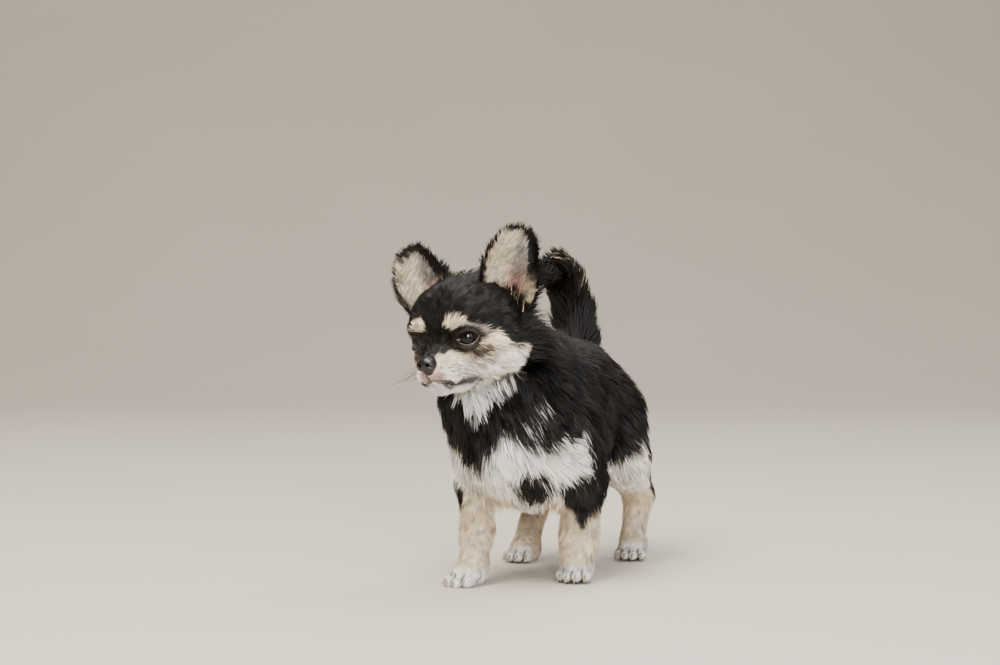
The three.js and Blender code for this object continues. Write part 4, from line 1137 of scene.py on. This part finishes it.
noseLeather = makeLeather("noseLeather", "#080607", 0.4, 0.7, 0.09)
lipSkin = makeLeather("lipSkin", "#1a1211", 0.38, 0.5, 0.05)
rimSkin = makeLeather("rimSkin", "#241b19", 0.34, 0.5, 0.05)
tearSkin = makeLeather("tearSkin", "#8a6a62", 0.22, 0.6, 0.03)
clawHorn = makeLeather("clawHorn", "#8f7d68", 0.35, 1.5, 0.02)
whiskerHair = makeLeather("whiskerHair", "#2a2522", 0.4, 1.0, 0.01)


def tube(path, radii, turns=10, closed=False):
    path = np.asarray(path, float)
    ways = unit(np.roll(path, -1, 0) - np.roll(path, 1, 0)) if closed else unit(np.gradient(path, axis=0))
    side = unit(np.cross(ways, (0.13, 0.21, 0.97)))
    over = np.cross(side, ways)
    angles = np.linspace(0, 2 * math.pi, turns, endpoint=False)
    points = [p + (side[i] * math.cos(a) + over[i] * math.sin(a)) * radii[i]
              for i, p in enumerate(path) for a in angles]
    count = len(path)
    faces = []
    for i in range(count if closed else count - 1):
        a, b = i * turns, ((i + 1) % count) * turns
        faces += [(a + k, b + k, b + (k + 1) % turns, a + (k + 1) % turns) for k in range(turns)]
    if not closed:
        faces += [tuple(range(turns)), tuple((count - 1) * turns + k for k in reversed(range(turns)))]
    return np.array(points), faces


def joined(parts):
    points, faces, start = [], [], 0
    for p, f in parts:
        points.append(p)
        faces += [tuple(i + start for i in face) for face in f]
        start += len(p)
    return np.concatenate(points), faces


def makeLids():
    rims, corners = [], []
    for s in both:
        t = np.linspace(0, 2 * math.pi, 64, endpoint=False)
        x = np.cos(t) * (eyeSet["wide"] + 0.3)
        y = np.sin(t) * (eyeSet["tall"] + 0.2) * (1 - 0.14 * np.abs(np.cos(t)))
        z = np.sqrt((eyeSet["radius"] + 0.35) ** 2 - x * x - y * y)
        path = turned(s, np.stack([x, y, z], 1), eyeAxes[s])
        rims.append(tube(path, 0.5 + 0.16 * np.abs(np.sin(t)), 10, closed=True))
        x, y = -s * (eyeSet["wide"] - 0.7), -0.5
        z = math.sqrt((eyeSet["radius"] - 0.1) ** 2 - x * x - y * y)
        path = turned(s, [(x + s * k, y, z) for k in np.linspace(-0.9, 1.1, 7)], eyeAxes[s])
        corners.append(tube(path, 0.75 * np.sin(np.linspace(0.35, 2.8, 7)), 10))
    for name, tubes, skinKind in (("lid_rims", rims, rimSkin), ("tear_corners", corners, tearSkin)):
        piece = anyMesh(name, *joined(tubes), skinKind)


def makeNose():
    middle = (0, -46.6, -11.6)
    body = melt(1.6, egg(middle, 5.6, 5.2, 4.9), egg((0, -46.6, -14.8), 3.0, 4.3, 3.6),
                *[egg((s * 3.7, -48.3, -12.2), 2.4, 3.2, 2.9) for s in both])
    holes = [limb((s * 2.9, -53.5, -12.2), (s * 2.1, -49, -11.2), 1.45, 0.9) for s in both]
    holes += [limb((s * 3.1, -52.4, -12.6), (s * 6.2, -49.6, -13.9), 1.1, 0.55) for s in both]
    holes.append(limb((0, -52.6, -13.8), (0, -51.0, -18.4), 0.45, 0.5))

    def form(p):
        return np.maximum(body(p), -np.min([hole(p) for hole in holes], 0))
    rows = (gridRow(-9, 9, 0.36), gridRow(-56, -40, 0.36), gridRow(-21, -4, 0.36))
    points, quads = netOf(form, rows, 3)
    nose = meshPiece("nose_leather", fromHead(points), quads, noseLeather)
    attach(nose, "root")
    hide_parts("nose")


# Finds the head's side at the given places by stepping inward from 22 mm out.
def headSurface(y, z, side):
    x = np.full(len(y), 22.0)
    for _ in range(60):
        d = outerForm(fromHead(np.stack([x * side, y, z], 1)))
        x = x - np.clip(d, -1, 3) * 0.7
        x = np.maximum(x, 0)
    return np.stack([x * side, y, z], 1)


def makeLips():
    line = np.array(mouthLine)
    t = np.linspace(1.0, len(line) - 1, 36)
    y, z = np.interp(t, range(len(line)), line[:, 0]), np.interp(t, range(len(line)), line[:, 1])
    sides = {}
    for s in both:
        sides[s] = headSurface(y, z, s)
        sides[s][:, 0] -= s * 0.75
    arc = np.linspace(-1, 1, 11)[1:-1, None]
    start = sides[1][0]
    front = np.hstack([arc * start[0], start[1] - 2.4 * (1 - arc ** 4), start[2] + 1.5 * (1 - arc ** 2)])
    path = np.concatenate([sides[-1][::-1], front, sides[1]])
    radii = np.interp(t, [1, 2, 4, 6], [0.42, 0.7, 0.95, 0.35])
    tubes = [tube(fromHead(path), np.concatenate([radii[::-1], np.full(9, 0.3), radii]), 8)]
    fold = np.array([(0, -50.4, -17.6), (0, -49.2, -19.2), (0, -47.4, -20.6)])
    tubes.append(tube(fromHead(fold), [0.35, 0.4, 0.4], 8))
    piece = anyMesh("lips", *joined(tubes), lipSkin)


def makeClaws():
    claws = []
    for leg in legs.values():
        t = leg["toe"]
        for side, front in leg["toes"]:
            start, end = leg["inPaw"](side, front - t + 2, t + 0.9), leg["inPaw"](side * 1.04, front - t - 2.6, 0.9)
            end[2] = max(end[2], 0.6)
            k = np.linspace(0, 1, 8)[:, None]
            path = start * (1 - k) + end * k + np.array((0, 0, 0.9)) * np.sin(k * math.pi)
            claws.append(tube(path, 0.82 * (1 - k[:, 0] ** 1.6) + 0.12, 8))
    piece = anyMesh("claws", *joined(claws), clawHorn)


def whisker(spot, way, length, droop, thick, count):
    k = np.linspace(0, 1, count)[:, None]
    path = spot + unit(np.array(way)) * length * k + np.array(droop) * k ** 2
    return tube(fromHead(path), thick * (1 - k[:, 0] * 0.85), 5)


def makeWhiskers():
    whiskers = []
    for s in both:
        for spot in headSurface(*np.array(whiskerSpots).T, s):
            way = (s * chance.uniform(0.8, 1.1), chance.uniform(-0.5, 0.35), chance.uniform(-0.45, 0.1))
            length = chance.uniform(15, 24)
            whiskers.append(whisker(spot, way, length, np.array((0, 5, -4)) * length / 20, 0.13, 9))
    for s in both:
        for y, z in ((-31, 12), (-30, 14)):
            whiskers.append(whisker((s * 12, y, z), (s * 0.5, -0.6, 0.9), 13, (0, 2, -1), 0.12, 8))
    piece = anyMesh("whiskers", *joined(whiskers), whiskerHair)


ballMaterial, glassMaterial = makeEyeMaterials()
for s, side in sides.items():
    makeEye(s, side, ballMaterial, glassMaterial)
makeLids()
makeNose()
makeLips()
makeClaws()
makeWhiskers()
print("face and claws")

# The camera stands where the photograph was taken from: 1.4 m away, 21 degrees to the puppy's left.
cameraSet = {"azimuth": 21, "place": (497.5, -1383.5, 212), "down": 2.437, "lens": 85.0}

# Floor and backdrop: one pale sweep of painted board, matt, curving up far behind the model.
sweepSet = {"width": 6.0, "front": -2.2, "back": 2.6, "radius": 1.2, "height": 3.2, "colour": "#cdc4b6"}


def makeSweep():
    material, tree = newMaterial("paleBoard")
    clouds = {"Scale": 3.0, "Detail": 5.0}  # about 0.3 m across
    tones = twoTones(tree, linear(sweepSet["colour"]), 0.94, 1.04, clouds)
    finishMaterial(tree, addNode(tree, "ShaderNodeBsdfPrincipled", {"Roughness": 0.75}, Base_Color=tones))
    r = sweepSet["radius"]
    curve = [(sweepSet["front"], 0), (sweepSet["back"] - r, 0)]
    curve += [(sweepSet["back"] - r + r * math.sin(a), r - r * math.cos(a))
              for a in np.linspace(0.1, math.pi / 2, 16)]
    curve.append((sweepSet["back"], sweepSet["height"]))
    points = [(x, y, z) for y, z in curve for x in (-sweepSet["width"] / 2, sweepSet["width"] / 2)]
    quads = [(2 * i, 2 * i + 1, 2 * i + 3, 2 * i + 2) for i in range(len(curve) - 1)]
    mesh = bpy.data.meshes.new("sweep")
    mesh.from_pydata(points, [], quads)
    sweep = showMesh(mesh, material)
    sweep.rotation_euler = (0, 0, math.radians(cameraSet["azimuth"]))


makeSweep()


def makeCamera():
    data = bpy.data.cameras.new("camera")
    data.lens, data.sensor_width = cameraSet["lens"], 36
    data.clip_start, data.clip_end = 0.05, 20
    camera = addObject("camera", data)
    camera.location = toScene(cameraSet["place"])
    camera.rotation_euler = (math.radians(90 - cameraSet["down"]), 0, math.radians(cameraSet["azimuth"]))
    bpy.context.scene.camera = camera


makeCamera()

# Soft studio light: a high window, a small near lamp for the glint in the eye, a fill and one from above.
lamps = {
    "window": {"place": (-0.3, -0.85, 1.75), "size": (1.0, 0.9), "watts": 62, "tint": "#fff8ee"},
    "near": {"place": (0.66, -1.25, 0.55), "size": (0.2, 0.24), "watts": 13, "tint": "#ffffff"},
    "fill": {"place": (1.5, -0.7, 0.7), "size": (1.2, 1.2), "watts": 14, "tint": "#eef2ff"},
    "top": {"place": (0.2, 0.6, 1.5), "size": (1.4, 1.0), "watts": 20, "tint": "#ffffff"},
}


def makeLamps():
    for name, lamp in lamps.items():
        data = bpy.data.lights.new(name, "AREA")
        data.shape, data.size, data.size_y = "RECTANGLE", *lamp["size"]
        data.energy, data.color = lamp["watts"], linear(lamp["tint"])
        light = addObject(name, data)
        light.location = lamp["place"]
        aim = Vector((0, 0, 0.1)) - light.location
        light.rotation_euler = aim.to_track_quat("-Z", "Y").to_euler()
    world = bpy.data.worlds.new("studio")
    world.use_nodes = True
    world.node_tree.nodes["Background"].inputs[0].default_value = (*linear("#e9e6e2"), 1)
    world.node_tree.nodes["Background"].inputs[1].default_value = 0.42
    bpy.context.scene.world = world


makeLamps()
